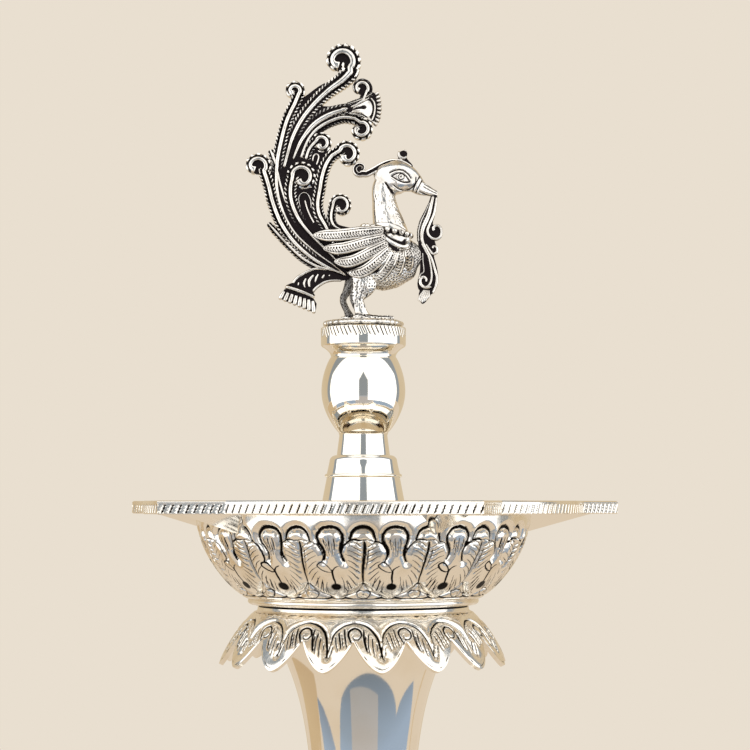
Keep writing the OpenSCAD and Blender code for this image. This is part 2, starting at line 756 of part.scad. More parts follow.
module wing(side) {
    color("gainsboro") for (f = wing_feathers_px) limb(
        smooth(f, 3), wing_half_px, [[0, wing_t], [0.8, wing_t], [1, wing_t * 0.6]],
        [for (o = wing_out_shares) [o[0], o[1] * bird_h * side]], 8
    );
}

module left_wing() {
    wing(1);
}

module right_wing() {
    wing(-1);
}

// The bead collar lies round the foot of the neck, low at the breast
collar_middle_px = [391, 232];
collar_tilt_angle = 11;
collar_half_shares = [0.0875, 0.066];
collar_pitch_share = 1.71;

module collar_beads() {
    middle = at(collar_middle_px);
    half = collar_half_shares * bird_h;
    beads = ceil(PI * norm(half) * sqrt(2) / (bead_r * collar_pitch_share));
    color("gainsboro") translate([middle[0], 0, middle[1]]) rotate([0, collar_tilt_angle, 0])
        for (i = [0:beads - 1])
            let (a = 360 * i / beads, along = atan2(half[1] * cos(a), -half[0] * sin(a)))
                translate([half[0] * cos(a), half[1] * sin(a), 0]) rotate([0, 90, along])
                    sphere(r = bead_r, $fn = bead_fn);
}

// The crest runs back over the head and rolls up behind it
crest_px = [[416, 167], [408, 162], [398, 160], [388, 162], [378, 169], [369, 175]];
crest_curl_px = [364, 168.5];
crest_loop_px = [[405, 162], [402.5, 156], [406, 151.5], [411, 154], [409, 158.5], [406, 157]];
crest_half_px = [[0, 2.2], [0.5, 3], [0.8, 2.6], [1, 1.8]];
loop_half_px = [[0, 2], [1, 1.6]];

module crest() {
    color("dimgray") {
        limb(concat(smooth(crest_px, 2), curl(crest_curl_px, 7, -60, -380, 12)),
            crest_half_px, [[0, trim_t], [1, trim_t]], flat, 6);
        limb(smooth(crest_loop_px, 2), loop_half_px, [[0, trim_t * 0.7], [1, trim_t * 0.7]], flat, 6);
    }
}

// The garland hangs from the beak and ends in a scroll and a tassel
garland_px = [[438, 197], [434, 208], [429, 220], [426, 232], [427, 243], [431, 255], [435, 266], [436, 276]];
garland_curl_px = [428, 282];
garland_half_px = [[0, 2.6], [0.15, 3.6], [0.5, 3.8], [0.75, 4], [1, 2.4]];
garland_twigs_px = [
    [[[427, 245], [431, 236]], [437.5, 234], 6, 170, -400],
    [[[429, 258], [432, 252]], [437, 252], 5, 170, -330]
];
twig_half_px = [[0, 2.4], [1, 1.8]];
garland_tassel_px = [[430, 288], [428, 293], [426, 299], [425, 304]];
tassel_half_px = [[0, 5], [0.4, 8], [0.8, 8], [1, 4]];

module beak_garland() {
    thick = [[0, trim_t], [1, trim_t]];
    color("dimgray") {
        limb(concat(smooth(garland_px, 2), curl(garland_curl_px, 8.5, 15, -330, 12)), garland_half_px,
            thick, flat, 6);
        for (t = garland_twigs_px)
            limb(concat(t[0], curl(t[1], t[2], t[3], t[4], 10)), twig_half_px, thick, flat, 6);
        limb(garland_tassel_px, tassel_half_px, [[0, trim_t], [1, trim_t * 0.6]], flat, 8);
    }
}

// The tassel behind the rump: a broad leaf, a band and a fringe
rump_leaf_px = [[352, 277], [338, 275], [324, 276], [313, 282], [305, 291]];
rump_leaf_half_px = [[0, 4], [0.3, 6.5], [0.7, 8.5], [1, 10]];
rump_band_px = [[304.5, 290], [302, 297.5]];
rump_band_half_px = [[0, 16.5], [1, 16.5]];
rump_fringe_px = [[303, 295], [301.4, 301], [300.2, 307]];
rump_fringe_half_px = [[0, 15], [0.6, 18], [1, 19.3]];

module rump_tassel() {
    color("dimgray") {
        limb(smooth(rump_leaf_px, 3), rump_leaf_half_px, [[0, trim_t], [1, trim_t]], flat, 8);
        limb(rump_band_px, rump_band_half_px, [[0, trim_t * 1.3], [1, trim_t * 1.3]], flat, 8);
        limb(rump_fringe_px, rump_fringe_half_px, [[0, trim_t], [1, trim_t]], flat, 8);
    }
}

base_cover();
foot_band();
base_dome();
ballast();
base_nut();
base_nut_washer();
centre_rod();
base_ring();
lower_column();
knop_lower_ring();
knop();
knop_upper_ring();
upper_column();
column_plug();
bowl_washer();
hub();
leaf_skirt();
bowl_ring();
bowl_shell();
oil_dish();
top_plate();
rim_band();
wick_spouts();
stem_washer();
stem_rod();
stem_cone();
stem_ring();
stem_collar();
stem_bulb();
stem_cap();
finial_washer();
finial_stud();
perch();
bird_legs();
bird_body();
bird_tail();
left_wing();
right_wing();
collar_beads();
crest();
beak_garland();
rump_tassel();
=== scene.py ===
# Standing silver oil lamp with a peacock finial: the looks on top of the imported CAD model
import json
import math

import bmesh
import bpy
import numpy as np
from mathutils import Matrix, Vector
from mathutils.kdtree import KDTree


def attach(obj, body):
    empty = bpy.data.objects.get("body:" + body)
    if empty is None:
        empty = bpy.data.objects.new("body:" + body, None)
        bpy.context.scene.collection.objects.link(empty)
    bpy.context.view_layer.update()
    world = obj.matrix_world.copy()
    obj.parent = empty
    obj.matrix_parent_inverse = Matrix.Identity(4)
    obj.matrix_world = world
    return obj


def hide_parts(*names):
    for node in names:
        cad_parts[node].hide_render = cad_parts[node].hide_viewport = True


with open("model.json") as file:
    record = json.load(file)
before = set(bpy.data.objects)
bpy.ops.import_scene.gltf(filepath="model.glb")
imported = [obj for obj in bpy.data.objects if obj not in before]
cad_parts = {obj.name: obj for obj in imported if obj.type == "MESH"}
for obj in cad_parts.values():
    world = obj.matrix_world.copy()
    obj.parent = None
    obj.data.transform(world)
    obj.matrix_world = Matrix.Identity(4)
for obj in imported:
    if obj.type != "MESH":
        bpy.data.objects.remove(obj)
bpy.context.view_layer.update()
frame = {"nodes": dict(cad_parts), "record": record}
mm = 0.001
weld = 1e-6  # points nearer than this, in metres, are one point
chance = np.random.default_rng(7)
print("frame loaded")


def addObject(name, data):
    item = bpy.data.objects.new(name, data)
    bpy.context.scene.collection.objects.link(item)
    return item


# The camera is level with the plate, 550 mm from the lamp's axis, and looks slightly up.
# In the photograph the axis is at axisX, the camera's height at levelY, and a pixel there is 0.25 mm.
photo = {"distance": 550, "height": 250, "aimX": 2.9, "aimZ": 282.35, "lens": 106.0, "sensor": 36, "near": 0.01,
         "axisX": 363.5, "levelY": 505, "pixel": 0.25}
cameraData = bpy.data.cameras.new("photoCamera")
cameraData.lens = photo["lens"]
cameraData.sensor_width = photo["sensor"]
cameraData.clip_start = photo["near"]
camera = addObject("photoCamera", cameraData)
camera.location = Vector((0, -photo["distance"], photo["height"])) * mm
aim = Vector((photo["aimX"], 0, photo["aimZ"])) * mm - camera.location
camera.rotation_euler = aim.to_track_quat("-Z", "Y").to_euler()
bpy.context.scene.camera = camera
print("camera placed")


def linear(hexColour):
    values = [int(hexColour[i:i + 2], 16) / 255 for i in (1, 3, 5)]
    return [v / 12.92 if v <= 0.04045 else ((v + 0.055) / 1.055) ** 2.4 for v in values] + [1]


def addNode(tree, kind, settings=None, links=None):
    node = tree.nodes.new(kind)
    for key, value in (settings or {}).items():
        if isinstance(key, int) or key in node.inputs:
            node.inputs[key].default_value = value
        else:
            setattr(node, key, value)
    for key, source in (links or {}).items():
        tree.links.new(source, node.inputs[key])
    return node


def newMaterial(name):
    material = bpy.data.materials.new(name)
    material.use_nodes = True
    material.node_tree.nodes.clear()
    return material, material.node_tree


def makePiece(name, mesh, body, slot, nodes, sharp=40, material=None):
    mesh.materials.clear()
    mesh.materials.append(material or slotMaterials[slot])
    mesh.shade_smooth()
    mesh.set_sharp_from_angle(angle=math.radians(sharp))
    piece = addObject(name, mesh)
    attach(piece, body)
    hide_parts(*nodes)


def meshFrom(bm, name):
    mesh = bpy.data.meshes.new(name)
    bm.to_mesh(mesh)
    bm.free()
    return mesh


def setGroove(mesh, values):
    # The metals are dark where this is near 1, as in a cut
    mesh.attributes.new("groove", "FLOAT", "POINT").data.foreach_set("value", values)


def smoothStep(low, high, x):
    t = np.clip((x - low) / (high - low), 0, 1)
    return t * t * (3 - 2 * t)


def smoothLine(points, steps):
    # A line through all the points, rounded between them
    p = np.array(points, float)
    ends = np.vstack([p[:1], p, p[-1:]])
    line = []
    for i in range(len(p) - 1):
        a, b, c, d = ends[i:i + 4]
        for t in np.arange(steps) / steps:
            line.append(0.5 * (2 * b + (c - a) * t + (2 * a - 5 * b + 4 * c - d) * t ** 2
                               + (3 * b - a - 3 * c + d) * t ** 3))
    line.append(p[-1])
    return np.array(line)


def lengthAlong(line):
    return np.concatenate([[0], np.cumsum(np.hypot(*np.diff(line, axis=0).T))])


def evenLine(line, count):
    # The same line with its points evenly spaced, and its length
    along = lengthAlong(line)
    want = np.linspace(0, along[-1], count)
    return np.column_stack([np.interp(want, along, line[:, k]) for k in (0, 1)]), along[-1]


def lineDistance(points, line):
    # Distance of each point to a line of segments, and how far along the line it is, 0 to 1
    best = np.full(len(points), 1e9)
    share = np.zeros(len(points))
    pieces = len(line) - 1
    for i in range(pieces):
        a, b = line[i], line[i + 1]
        d = b - a
        t = np.clip(((points - a) @ d) / max(d @ d, 1e-12), 0, 1)
        gap = np.hypot(*(points - a - t[:, None] * d).T)
        nearer = gap < best
        best[nearer] = gap[nearer]
        share[nearer] = (i + t[nearer]) / pieces
    return best, share


def gridMesh(name, parts):
    # Each part is a grid whose points are moved by its place(u, v); meeting edges are merged
    bm = bmesh.new()
    for columns, rows, _ in parts:
        bmesh.ops.create_grid(bm, x_segments=columns, y_segments=rows, size=0.5)
    mesh = bpy.data.meshes.new(name)
    bm.to_mesh(mesh)
    flat = np.empty(len(mesh.vertices) * 3)
    mesh.vertices.foreach_get("co", flat)
    flat = flat.reshape(-1, 3)
    groove = np.zeros(len(flat))
    start = 0
    for columns, rows, place in parts:
        end = start + (columns + 1) * (rows + 1)
        u = np.round((flat[start:end, 0] + 0.5) * columns) / columns
        v = np.round((flat[start:end, 1] + 0.5) * rows) / rows
        flat[start:end], groove[start:end] = place(u, v)
        start = end
    mesh.vertices.foreach_set("co", (flat * mm).ravel())
    setGroove(mesh, groove)
    bm.clear()
    bm.from_mesh(mesh)
    bmesh.ops.remove_doubles(bm, verts=bm.verts, dist=weld)
    bmesh.ops.holes_fill(bm, edges=[e for e in bm.edges if e.is_boundary])
    bmesh.ops.recalc_face_normals(bm, faces=bm.faces)
    bm.to_mesh(mesh)
    bm.free()
    return mesh


def gridPiece(name, parts, body, slot, nodes, sharp=50, material=None):
    makePiece(name, gridMesh(name, parts), body, slot, nodes, sharp, material)


def gridIndex(share, count):
    # Which of a grid's lines a point is on
    return np.round(share * count).astype(int)


def onAxis(angle, r, z):
    return np.column_stack([r * np.sin(angle), -r * np.cos(angle), z])


def turnedPiece(name, body, node, profile, steps):
    # A closed outline of (radius, height) spun round the lamp's axis
    bm = bmesh.new()
    corners = [bm.verts.new((r * mm, 0, z * mm)) for r, z in profile]
    edges = [bm.edges.new(pair) for pair in zip(corners, corners[1:] + corners[:1])]
    bmesh.ops.spin(bm, geom=corners + edges, cent=(0, 0, 0), axis=(0, 0, 1), angle=2 * math.pi,
                   steps=steps, use_merge=True, use_duplicate=False)
    bmesh.ops.remove_doubles(bm, verts=bm.verts, dist=weld)
    bmesh.ops.recalc_face_normals(bm, faces=bm.faces)
    makePiece(name, meshFrom(bm, name), body, "polished_silver", [node])


# Silver is a white metal with a slightly warm tone. Its cuts hold a brown-black oxide.
def silverMaterial(name, look):
    material, tree = newMaterial(name)
    place = addNode(tree, "ShaderNodeTexCoord").outputs["Object"]
    groove = addNode(tree, "ShaderNodeAttribute", {"attribute_name": "groove"}).outputs["Fac"]
    patches, grain, waves = [
        addNode(tree, "ShaderNodeTexNoise", {"Scale": 1000 / look[size], "Detail": detail},
                {"Vector": place}).outputs["Fac"]
        for size, detail in (("patchSize", 3.0), ("grainSize", 4.0), ("waveSize", 1.0))]
    tarnish = addNode(tree, "ShaderNodeMapRange", {1: 0.45, 2: 0.75, 3: 0.0, 4: look["tarnishShare"]},
                      {0: patches}).outputs[0]
    clean = addNode(tree, "ShaderNodeMix", {"data_type": "RGBA", 6: linear(look["metal"]),
                                            7: linear(look["tarnish"])}, {0: tarnish}).outputs[2]
    # Grain breaks up the edge of the oxide, as where polishing has worn it
    rough = addNode(tree, "ShaderNodeMath", {"operation": "MULTIPLY", 1: look["oxideWear"]}, {0: grain}).outputs[0]
    worn = addNode(tree, "ShaderNodeMath", {"operation": "SUBTRACT"}, {0: groove, 1: rough}).outputs[0]
    oxide = addNode(tree, "ShaderNodeMapRange", {1: look["oxideFrom"], 2: look["oxideTo"], 3: 0.0, 4: 1.0},
                    {0: worn}).outputs[0]
    colour = addNode(tree, "ShaderNodeMix", {"data_type": "RGBA", 7: linear(look["oxide"])},
                     {0: oxide, 6: clean}).outputs[2]
    shine = addNode(tree, "ShaderNodeMapRange", {1: 0.3, 2: 0.7, 3: look["roughLow"], 4: look["roughHigh"]},
                    {0: grain}).outputs[0]
    roughness = addNode(tree, "ShaderNodeMix", {"data_type": "FLOAT", 3: look["oxideRoughness"]},
                        {0: oxide, 2: shine}).outputs[0]
    broad = addNode(tree, "ShaderNodeBump", {"Strength": 1.0, "Distance": look["waveDepth"] * mm},
                    {"Height": waves}).outputs[0]
    fine = addNode(tree, "ShaderNodeBump", {"Strength": 1.0, "Distance": look["grainDepth"] * mm},
                   {"Height": grain, "Normal": broad}).outputs[0]
    shader = addNode(tree, "ShaderNodeBsdfPrincipled", {"Metallic": 1.0},
                     {"Base Color": colour, "Roughness": roughness, "Normal": fine})
    addNode(tree, "ShaderNodeOutputMaterial", None, {"Surface": shader.outputs[0]})
    return material


# Mirror-polished spun silver: hand buffing leaves shallow waves and faint haze.
# The haze's real grain is a few hundredths of a millimetre; it is drawn coarser, so that it shows.
mirrorSilver = silverMaterial("mirrorSilver", {
    "metal": "#F6F2EA", "tarnish": "#E9DCC4", "tarnishShare": 0.5, "patchSize": 18,
    "oxide": "#1C1712", "oxideWear": 0.3, "oxideFrom": 0.25, "oxideTo": 0.6, "oxideRoughness": 0.45,
    "grainSize": 0.35, "grainDepth": 0.0004, "waveSize": 9, "waveDepth": 0.02,
    "roughLow": 0.035, "roughHigh": 0.09})
# Chased sheet silver: bright on the raised leaves, oxide rubbed into every cut
chasedSilver = silverMaterial("chasedSilver", {
    "metal": "#F4EFE6", "tarnish": "#DDCDB2", "tarnishShare": 0.6, "patchSize": 7,
    "oxide": "#120E0B", "oxideWear": 0.35, "oxideFrom": 0.18, "oxideTo": 0.6, "oxideRoughness": 0.5,
    "grainSize": 0.5, "grainDepth": 0.006, "waveSize": 2.6, "waveDepth": 0.05,
    "roughLow": 0.1, "roughHigh": 0.24})
# Cast silver, oxidised all over and rubbed bright on its high places
castSilver = silverMaterial("castSilver", {
    "metal": "#EDE8E0", "tarnish": "#A39C93", "tarnishShare": 0.7, "patchSize": 2.5,
    "oxide": "#241F20", "oxideWear": 0.45, "oxideFrom": 0.15, "oxideTo": 0.6, "oxideRoughness": 0.55,
    "grainSize": 0.35, "grainDepth": 0.008, "waveSize": 1.5, "waveDepth": 0.06,
    "roughLow": 0.09, "roughHigh": 0.24})
print("metals made")


def plainMaterial(name, look):
    material, tree = newMaterial(name)
    place = addNode(tree, "ShaderNodeTexCoord").outputs["Object"]
    stretch = addNode(tree, "ShaderNodeMapping", {"Scale": look["stretch"]}, {"Vector": place}).outputs[0]
    grain = addNode(tree, "ShaderNodeTexNoise", {"Scale": 1000 / look["grainSize"], "Detail": 6.0},
                    {"Vector": stretch}).outputs["Fac"]
    mix = addNode(tree, "ShaderNodeMapRange", {1: 0.35, 2: 0.65, 3: 0.0, 4: 1.0}, {0: grain}).outputs[0]
    colour = addNode(tree, "ShaderNodeMix", {"data_type": "RGBA", 6: linear(look["light"]),
                                             7: linear(look["dark"])}, {0: mix}).outputs[2]
    roughness = addNode(tree, "ShaderNodeMapRange", {1: 0.3, 2: 0.7, 3: look["roughLow"], 4: look["roughHigh"]},
                        {0: grain}).outputs[0]
    bump = addNode(tree, "ShaderNodeBump", {"Strength": 1.0, "Distance": look["grainDepth"] * mm},
                   {"Height": grain}).outputs[0]
    shader = addNode(tree, "ShaderNodeBsdfPrincipled", {"Metallic": look["metallic"]},
                     {"Base Color": colour, "Roughness": roughness, "Normal": bump})
    addNode(tree, "ShaderNodeOutputMaterial", None, {"Surface": shader.outputs[0]})
    return material


# Rolled steel rod: fine drawing lines along its length, drawn several times coarser than real ones to show
drawnSteel = plainMaterial("drawnSteel", {
    "light": "#A6A8AA", "dark": "#7C7F82", "stretch": (1, 1, 0.08), "grainSize": 0.25, "grainDepth": 0.01,
    "roughLow": 0.22, "roughHigh": 0.38, "metallic": 1.0})
# Vegetable-tanned leather: dull, with a pebbled grain under 1 mm
tannedLeather = plainMaterial("tannedLeather", {
    "light": "#7A4A2A", "dark": "#4A2A18", "stretch": (1, 1, 1), "grainSize": 0.8, "grainDepth": 0.08,
    "roughLow": 0.55, "roughHigh": 0.8, "metallic": 0.0})
# Plaster of Paris filling: chalky, with sand-size pits
plasterFill = plainMaterial("plasterFill", {
    "light": "#D6D1C7", "dark": "#BDB6AA", "stretch": (1, 1, 1), "grainSize": 1.2, "grainDepth": 0.15,
    "roughLow": 0.8, "roughHigh": 0.95, "metallic": 0.0})

slotMaterials = {
    "plain_steel": drawnSteel, "washer_leather": tannedLeather, "plaster": plasterFill,
    "polished_silver": mirrorSilver, "chased_silver": chasedSilver, "cast_silver": castSilver}
for subpart in frame["record"]["subparts"]:
    nodeObject = frame["nodes"][subpart["node"]]
    for slot in nodeObject.material_slots:
        slot.material = slotMaterials[subpart["material_slot"]]


# CAD shapes kept as they are, with their facets shaded as one smooth surface
for name, node in (("oilDish", "oil_dish"), ("topPlate", "top_plate"), ("wickSpouts", "wick_spouts"),
                   ("bowlHub", "hub")):
    mesh = frame["nodes"][node].data.copy()
    bm = bmesh.new()
    bm.from_mesh(mesh)
    bmesh.ops.remove_doubles(bm, verts=bm.verts, dist=weld)
    bmesh.ops.recalc_face_normals(bm, faces=bm.faces)
    bm.to_mesh(mesh)
    bm.free()
    makePiece(name, mesh, "bowl", "polished_silver", [node], 24)
print("bowl's inner parts smoothed")

# What the turned pieces share: their sheet's thickness, steps round, how much coarser the unseen inside is,
# and the radius of the holes for the rods
turned = {"sheet": 1.2, "steps": 192, "coarse": 4, "ringSteps": 160, "rodHole": 5.05, "stemHole": 4.05}


def beadRing(name, body, node, r, hole, h, z):
    edge = h / 2
    nose = [(r - edge + edge * math.cos(a), z + edge + edge * math.sin(a))
            for a in np.radians(np.linspace(-88, 88, 15))]
    profile = [(hole, z), (r - edge, z)] + nose + [(r - edge, z + h), (hole, z + h)]
    turnedPiece(name, body, node, profile, turned["ringSteps"])


def turnedSheet(name, node, outline):
    inner = [(r - turned["sheet"], z) for r, z in outline[:0:-turned["coarse"]] + outline[:1]]
    turnedPiece(name, "pedestal", node, outline + inner, turned["steps"])


def turnedSolid(name, node, outline):
    hole = turned["stemHole"]
    turnedPiece(name, "stem", node, [(hole, outline[0][1])] + outline + [(hole, outline[-1][1])], turned["steps"])


column = {"waist": 11.5, "top": 25.9, "from": 109, "to": 222, "flare": 16.7, "foot": 0.8, "footFlare": 11}
turnedSheet("columnTrumpet", "upper_column", [
    (column["waist"] + (column["top"] - column["waist"]) * math.exp(-(column["to"] - z) / column["flare"])
     + column["foot"] * math.exp(-(z - column["from"]) / column["footFlare"]), z)
    for z in np.linspace(column["from"], column["to"], 90)])
lower = {"waist": 9.8, "foot": 19, "from": 38, "to": 84, "flare": 11}
turnedSheet("columnFoot", "lower_column", [
    (lower["waist"] + (lower["foot"] - lower["waist"]) * math.exp(-(z - lower["from"]) / lower["flare"]), z)
    for z in np.linspace(lower["from"], lower["to"], 60)])
knop = {"neck": 10.5, "belly": 16.5, "from": 86.5, "h": 20, "round": 0.75}
turnedSheet("columnKnop", "knop", [
    (knop["neck"] + (knop["belly"] - knop["neck"]) * math.sin(math.pi * t) ** knop["round"],
     knop["from"] + t * knop["h"])
    for t in (0.5 - 0.5 * np.cos(np.linspace(0, np.pi, 60)))])

for name, body, node, r, hole, h, z in (
        ("footRing", "pedestal", "base_ring", 22, turned["rodHole"], 4.5, 33.5),
        ("knopLowerRing", "pedestal", "knop_lower_ring", 13, turned["rodHole"], 2.5, 84),
        ("knopUpperRing", "pedestal", "knop_upper_ring", 13, turned["rodHole"], 2.5, 106.5),
        ("stemRing", "stem", "stem_ring", 9.6, turned["stemHole"], 0.9, 256.8)):
    beadRing(name, body, node, r, hole, h, z)

# Radius, height and ink: a bead over a dark line and a bright upright shoulder
bowlRingSide = [(20, 223.75, 0), (26.95, 223.75, 0), (26.6, 223.88, 0), (26.35, 224.05, 0), (26.2, 224.3, 0),
                (26.1, 224.95, 0), (25.8, 225.05, 1), (25.9, 225.4, 1), (26.0, 225.48, 0.2)] + \
    [(27.6 + 1.0 * math.cos(a), 226.4 + 0.85 * math.sin(a), 0.35 if a < -1.1 else 0)
     for a in np.radians(range(-90, 91, 12))] + [(20, 227.2, 0), (20, 223.75, 0)]


def ringPlace(u, v):
    r, z, ink = np.array(bowlRingSide)[gridIndex(v, len(bowlRingSide) - 1)].T
    return onAxis(2 * math.pi * u, r, z), ink


gridPiece("bowlRing", [(turned["steps"], len(bowlRingSide) - 1, ringPlace)], "bowl", "polished_silver",
          ["bowl_ring"], 30, chasedSilver)

cone = {"foot": 11.6, "top": 9.1, "from": 243.7, "h": 13.1}
turnedSolid("stemCone", "stem_cone", [
    (cone["foot"] + (cone["top"] - cone["foot"]) * t, cone["from"] + cone["h"] * t) for t in np.linspace(0, 1, 14)])
neckRing = {"r": 9.1, "low": 257.7, "shoulder": 8.72, "shoulderZ": 259.3, "neck": 6.6, "roundZ": 260.9, "out": 1.8,
            "up": 1.45}
turnedSolid("stemCollar", "stem_collar", [
    (neckRing["r"], neckRing["low"]), (neckRing["shoulder"], neckRing["shoulderZ"])] + [
    (neckRing["neck"] + neckRing["out"] * math.cos(a), neckRing["roundZ"] + neckRing["up"] * math.sin(a))
    for a in np.radians(np.linspace(0, 90, 14))])
# A neck, then a belly whose lower and upper halves swell by different amounts
bulb = {"foot": 6.6, "fall": 0.7, "neck": 5.9, "topNeck": 8.1, "from": 262.4, "neckH": 5.4, "lowFrom": 267.8,
        "to": 286.8, "lowSwell": 4.55, "lowH": 10.5, "topSwell": 2.35, "topH": 8.5, "round": 0.8}
bulbSide = [(bulb["foot"] - bulb["fall"] * t, bulb["from"] + bulb["neckH"] * t) for t in np.linspace(0, 0.9, 8)]
bulbSide += [(bulb["neck"] + bulb["lowSwell"] * math.sin(math.pi / 2 * t) ** bulb["round"],
              bulb["lowFrom"] + bulb["lowH"] * t) for t in np.linspace(0.02, 1, 40)]
bulbSide += [(bulb["topNeck"] + bulb["topSwell"] * math.sin(math.pi / 2 * t) ** bulb["round"],
              bulb["to"] - bulb["topH"] * t) for t in np.linspace(0.97, 0, 34)]
turnedSolid("stemBulb", "stem_bulb", bulbSide)

cap = {"neck": 8.1, "r": 10.6, "low": 286.8, "throat": 2.75, "top": 294.2, "cuts": 58, "lean": 0.42, "reach": 2.7,
       "depth": 0.16, "hole": 2.55, "seat": 5.2, "seatZ": 293.9}
throat = [(cap["neck"] + (cap["r"] - cap["neck"]) * t ** 2, cap["low"] + cap["throat"] * t)
          for t in np.linspace(0, 0.86, 18)]
corner = [(cap["r"] - 0.55 * (1 - math.sin(a)), cap["low"] + 3.3 - 0.85 * math.cos(a))
          for a in np.linspace(0.1, 1.5, 8)]
capSide = np.array([(cap["hole"], cap["low"])] + throat + corner + [
    (cap["r"], z) for z in np.linspace(cap["low"] + 3.5, cap["top"] - 0.25, 26)] + [
    (cap["r"] - 0.25, cap["top"]), (cap["seat"], cap["top"]), (cap["seat"], cap["seatZ"]),
    (cap["hole"], cap["seatZ"]), (cap["hole"], cap["low"])])


def capPlace(u, v):
    # Short slanting strokes round the cap's top edge
    row = gridIndex(v, len(capSide) - 1)
    r, z = capSide[row].T
    a = 2 * math.pi * u
    h = cap["top"] - z
    stroke = a * cap["cuts"] / (2 * math.pi) - h * cap["lean"]
    reach = cap["reach"] * (0.95 + 0.12 * np.sin(np.floor(stroke) * 2.3))
    band = smoothStep(0.15, 0.4, h) * (1 - smoothStep(reach - 0.3, reach, h)) * ((r > cap["r"] - 0.3) & (row > 0))
    cut = (1 - smoothStep(0.08, 0.2, np.abs(stroke % 1 - 0.5))) * band
    return onAxis(a, r - cap["depth"] * cut, z), cut


gridPiece("stemCap", [(cap["cuts"] * 10, len(capSide) - 1, capPlace)], "stem", "polished_silver", ["stem_cap"], 40)
print("turned pieces made")


# Leaf motifs are traced as lines; each is cut into the sheet and the silver beside it swells up
def onTurned(x, y, radiusAt):
    # The angle and height at which a photograph's pixel lies on a turned surface, found in a few rounds
    r, turnedBy = 40.0, 0.0
    for _ in range(20):
        k = photo["distance"] / (photo["distance"] - r * math.cos(turnedBy))
        z = photo["height"] + (photo["levelY"] - y) * photo["pixel"] / k
        r = radiusAt(z)
        turnedBy = math.asin(max(-1, min(1, (x - photo["axisX"]) * photo["pixel"] / (r * k))))
    return turnedBy, z


linePads = {"outline": 2.2, "punch": 1.5, "cut": 0.6}  # how far beyond each kind of line it is worked out, in mm


def chasedRelief(angle, along, radius, cells, lines, look):
    # lines: (first width, last width, points as (mm round, mm along), role)
    depth, ink, edge = np.zeros(len(angle)), np.zeros(len(angle)), np.full(len(angle), 9.0)
    for middle in cells:
        shift = middle + chance.normal(0, look["wander"])
        heavy = chance.uniform(0.85, 1.2)
        turnedBy = (angle - shift + math.pi) % (2 * math.pi) - math.pi
        near = np.flatnonzero(np.abs(turnedBy) < look["reach"])
        flat = np.column_stack([turnedBy[near] * radius[near], along[near]])
        for first, last, line, role in lines:
            line = line + chance.normal(0, look["shake"], line.shape)
            low, high = line.min(0) - linePads[role], line.max(0) + linePads[role]
            close = np.flatnonzero(np.all((flat > low) & (flat < high), axis=1))
            if len(close) == 0:
                continue
            gap, share = lineDistance(flat[close], line)
            half = (first + (last - first) * share) / 2 * heavy
            if role != "punch":
                half = half * (0.35 + 0.65 * np.sqrt(np.clip(np.sin(math.pi * np.clip(share, 0.02, 0.98)), 0, 1)))
            cut = 1 - smoothStep(half * 0.45, half * 1.25 + 0.06, gap)
            where = near[close]
            deep = look["deep"] if role == "outline" else look["fine"]
            depth[where] = np.maximum(depth[where], cut * np.minimum(deep, 0.2 + half * 0.9))
            ink[where] = np.maximum(ink[where], cut * (1.0 if half.max() > 0.25 else look["fineInk"]))
            if role == "outline":
                edge[where] = np.minimum(edge[where], np.maximum(gap - half, 0))
    swell = look["swell"] * (1 - np.exp(-(edge / look["swellReach"]) ** 1.4))
    return swell - look["sink"] - depth, ink


def pathFrames(path, count):
    # Evenly spaced points of a profile with their outward normals
    spots, total = evenLine(np.array(path, float), count)
    run = np.gradient(spots, axis=0)
    run /= np.hypot(*run.T)[:, None]
    return spots, np.column_stack([run[:, 1], -run[:, 0]]), np.linspace(0, total, count)


thread = {"rows": 8, "sides": 36, "depth": 0.5, "ink": 0.5}  # rows to a turn; depth as a share of the pitch


def threadedRod(name, body, node, r, low, high, start, end, pitch):
    # A rod with a cut thread over part of its length
    count = round((end - start) / pitch * thread["rows"])
    heights = np.unique(np.concatenate([[low, high], np.linspace(start, end, count + 1)]))

    def place(u, v):
        z = heights[gridIndex(v, len(heights) - 1)]
        crest = np.abs((z / pitch - u) % 1 - 0.5) * 2
        threaded = smoothStep(start, start + pitch, z) * (z <= end) * (0.3 + 0.7 * smoothStep(0, pitch, end - z))
        deep = thread["depth"] * pitch * threaded * (1 - smoothStep(0.1, 0.8, crest))
        return onAxis(2 * math.pi * u, r - deep, z), thread["ink"] * threaded * (crest < 0.3)
    gridPiece(name, [(thread["sides"], len(heights) - 1, place)], body, "plain_steel", [node], 60)


for rod in (("centreRod", "pedestal", "centre_rod", 5, 2.4, 231.3, 219, 231.3, 1.5),
            ("stemRod", "stem", "stem_rod", 4, 233.8, 286.7, 233.8, 245.8, 1.5),
            ("finialStud", "finial", "finial_stud", 2.5, 287.1, 294.4, 287.1, 294.4, 1.0)):
    threadedRod(*rod)

footRope = {"r": 52, "inner": 47, "h": 5.5, "lean": 0.42, "depth": 0.45, "cuts": 131, "rows": 27,
            "lineZ": 4.45, "lineDepth": 0.15}
footHeights = np.concatenate([np.linspace(0, footRope["h"], footRope["rows"]), [footRope["h"], 0, 0]])


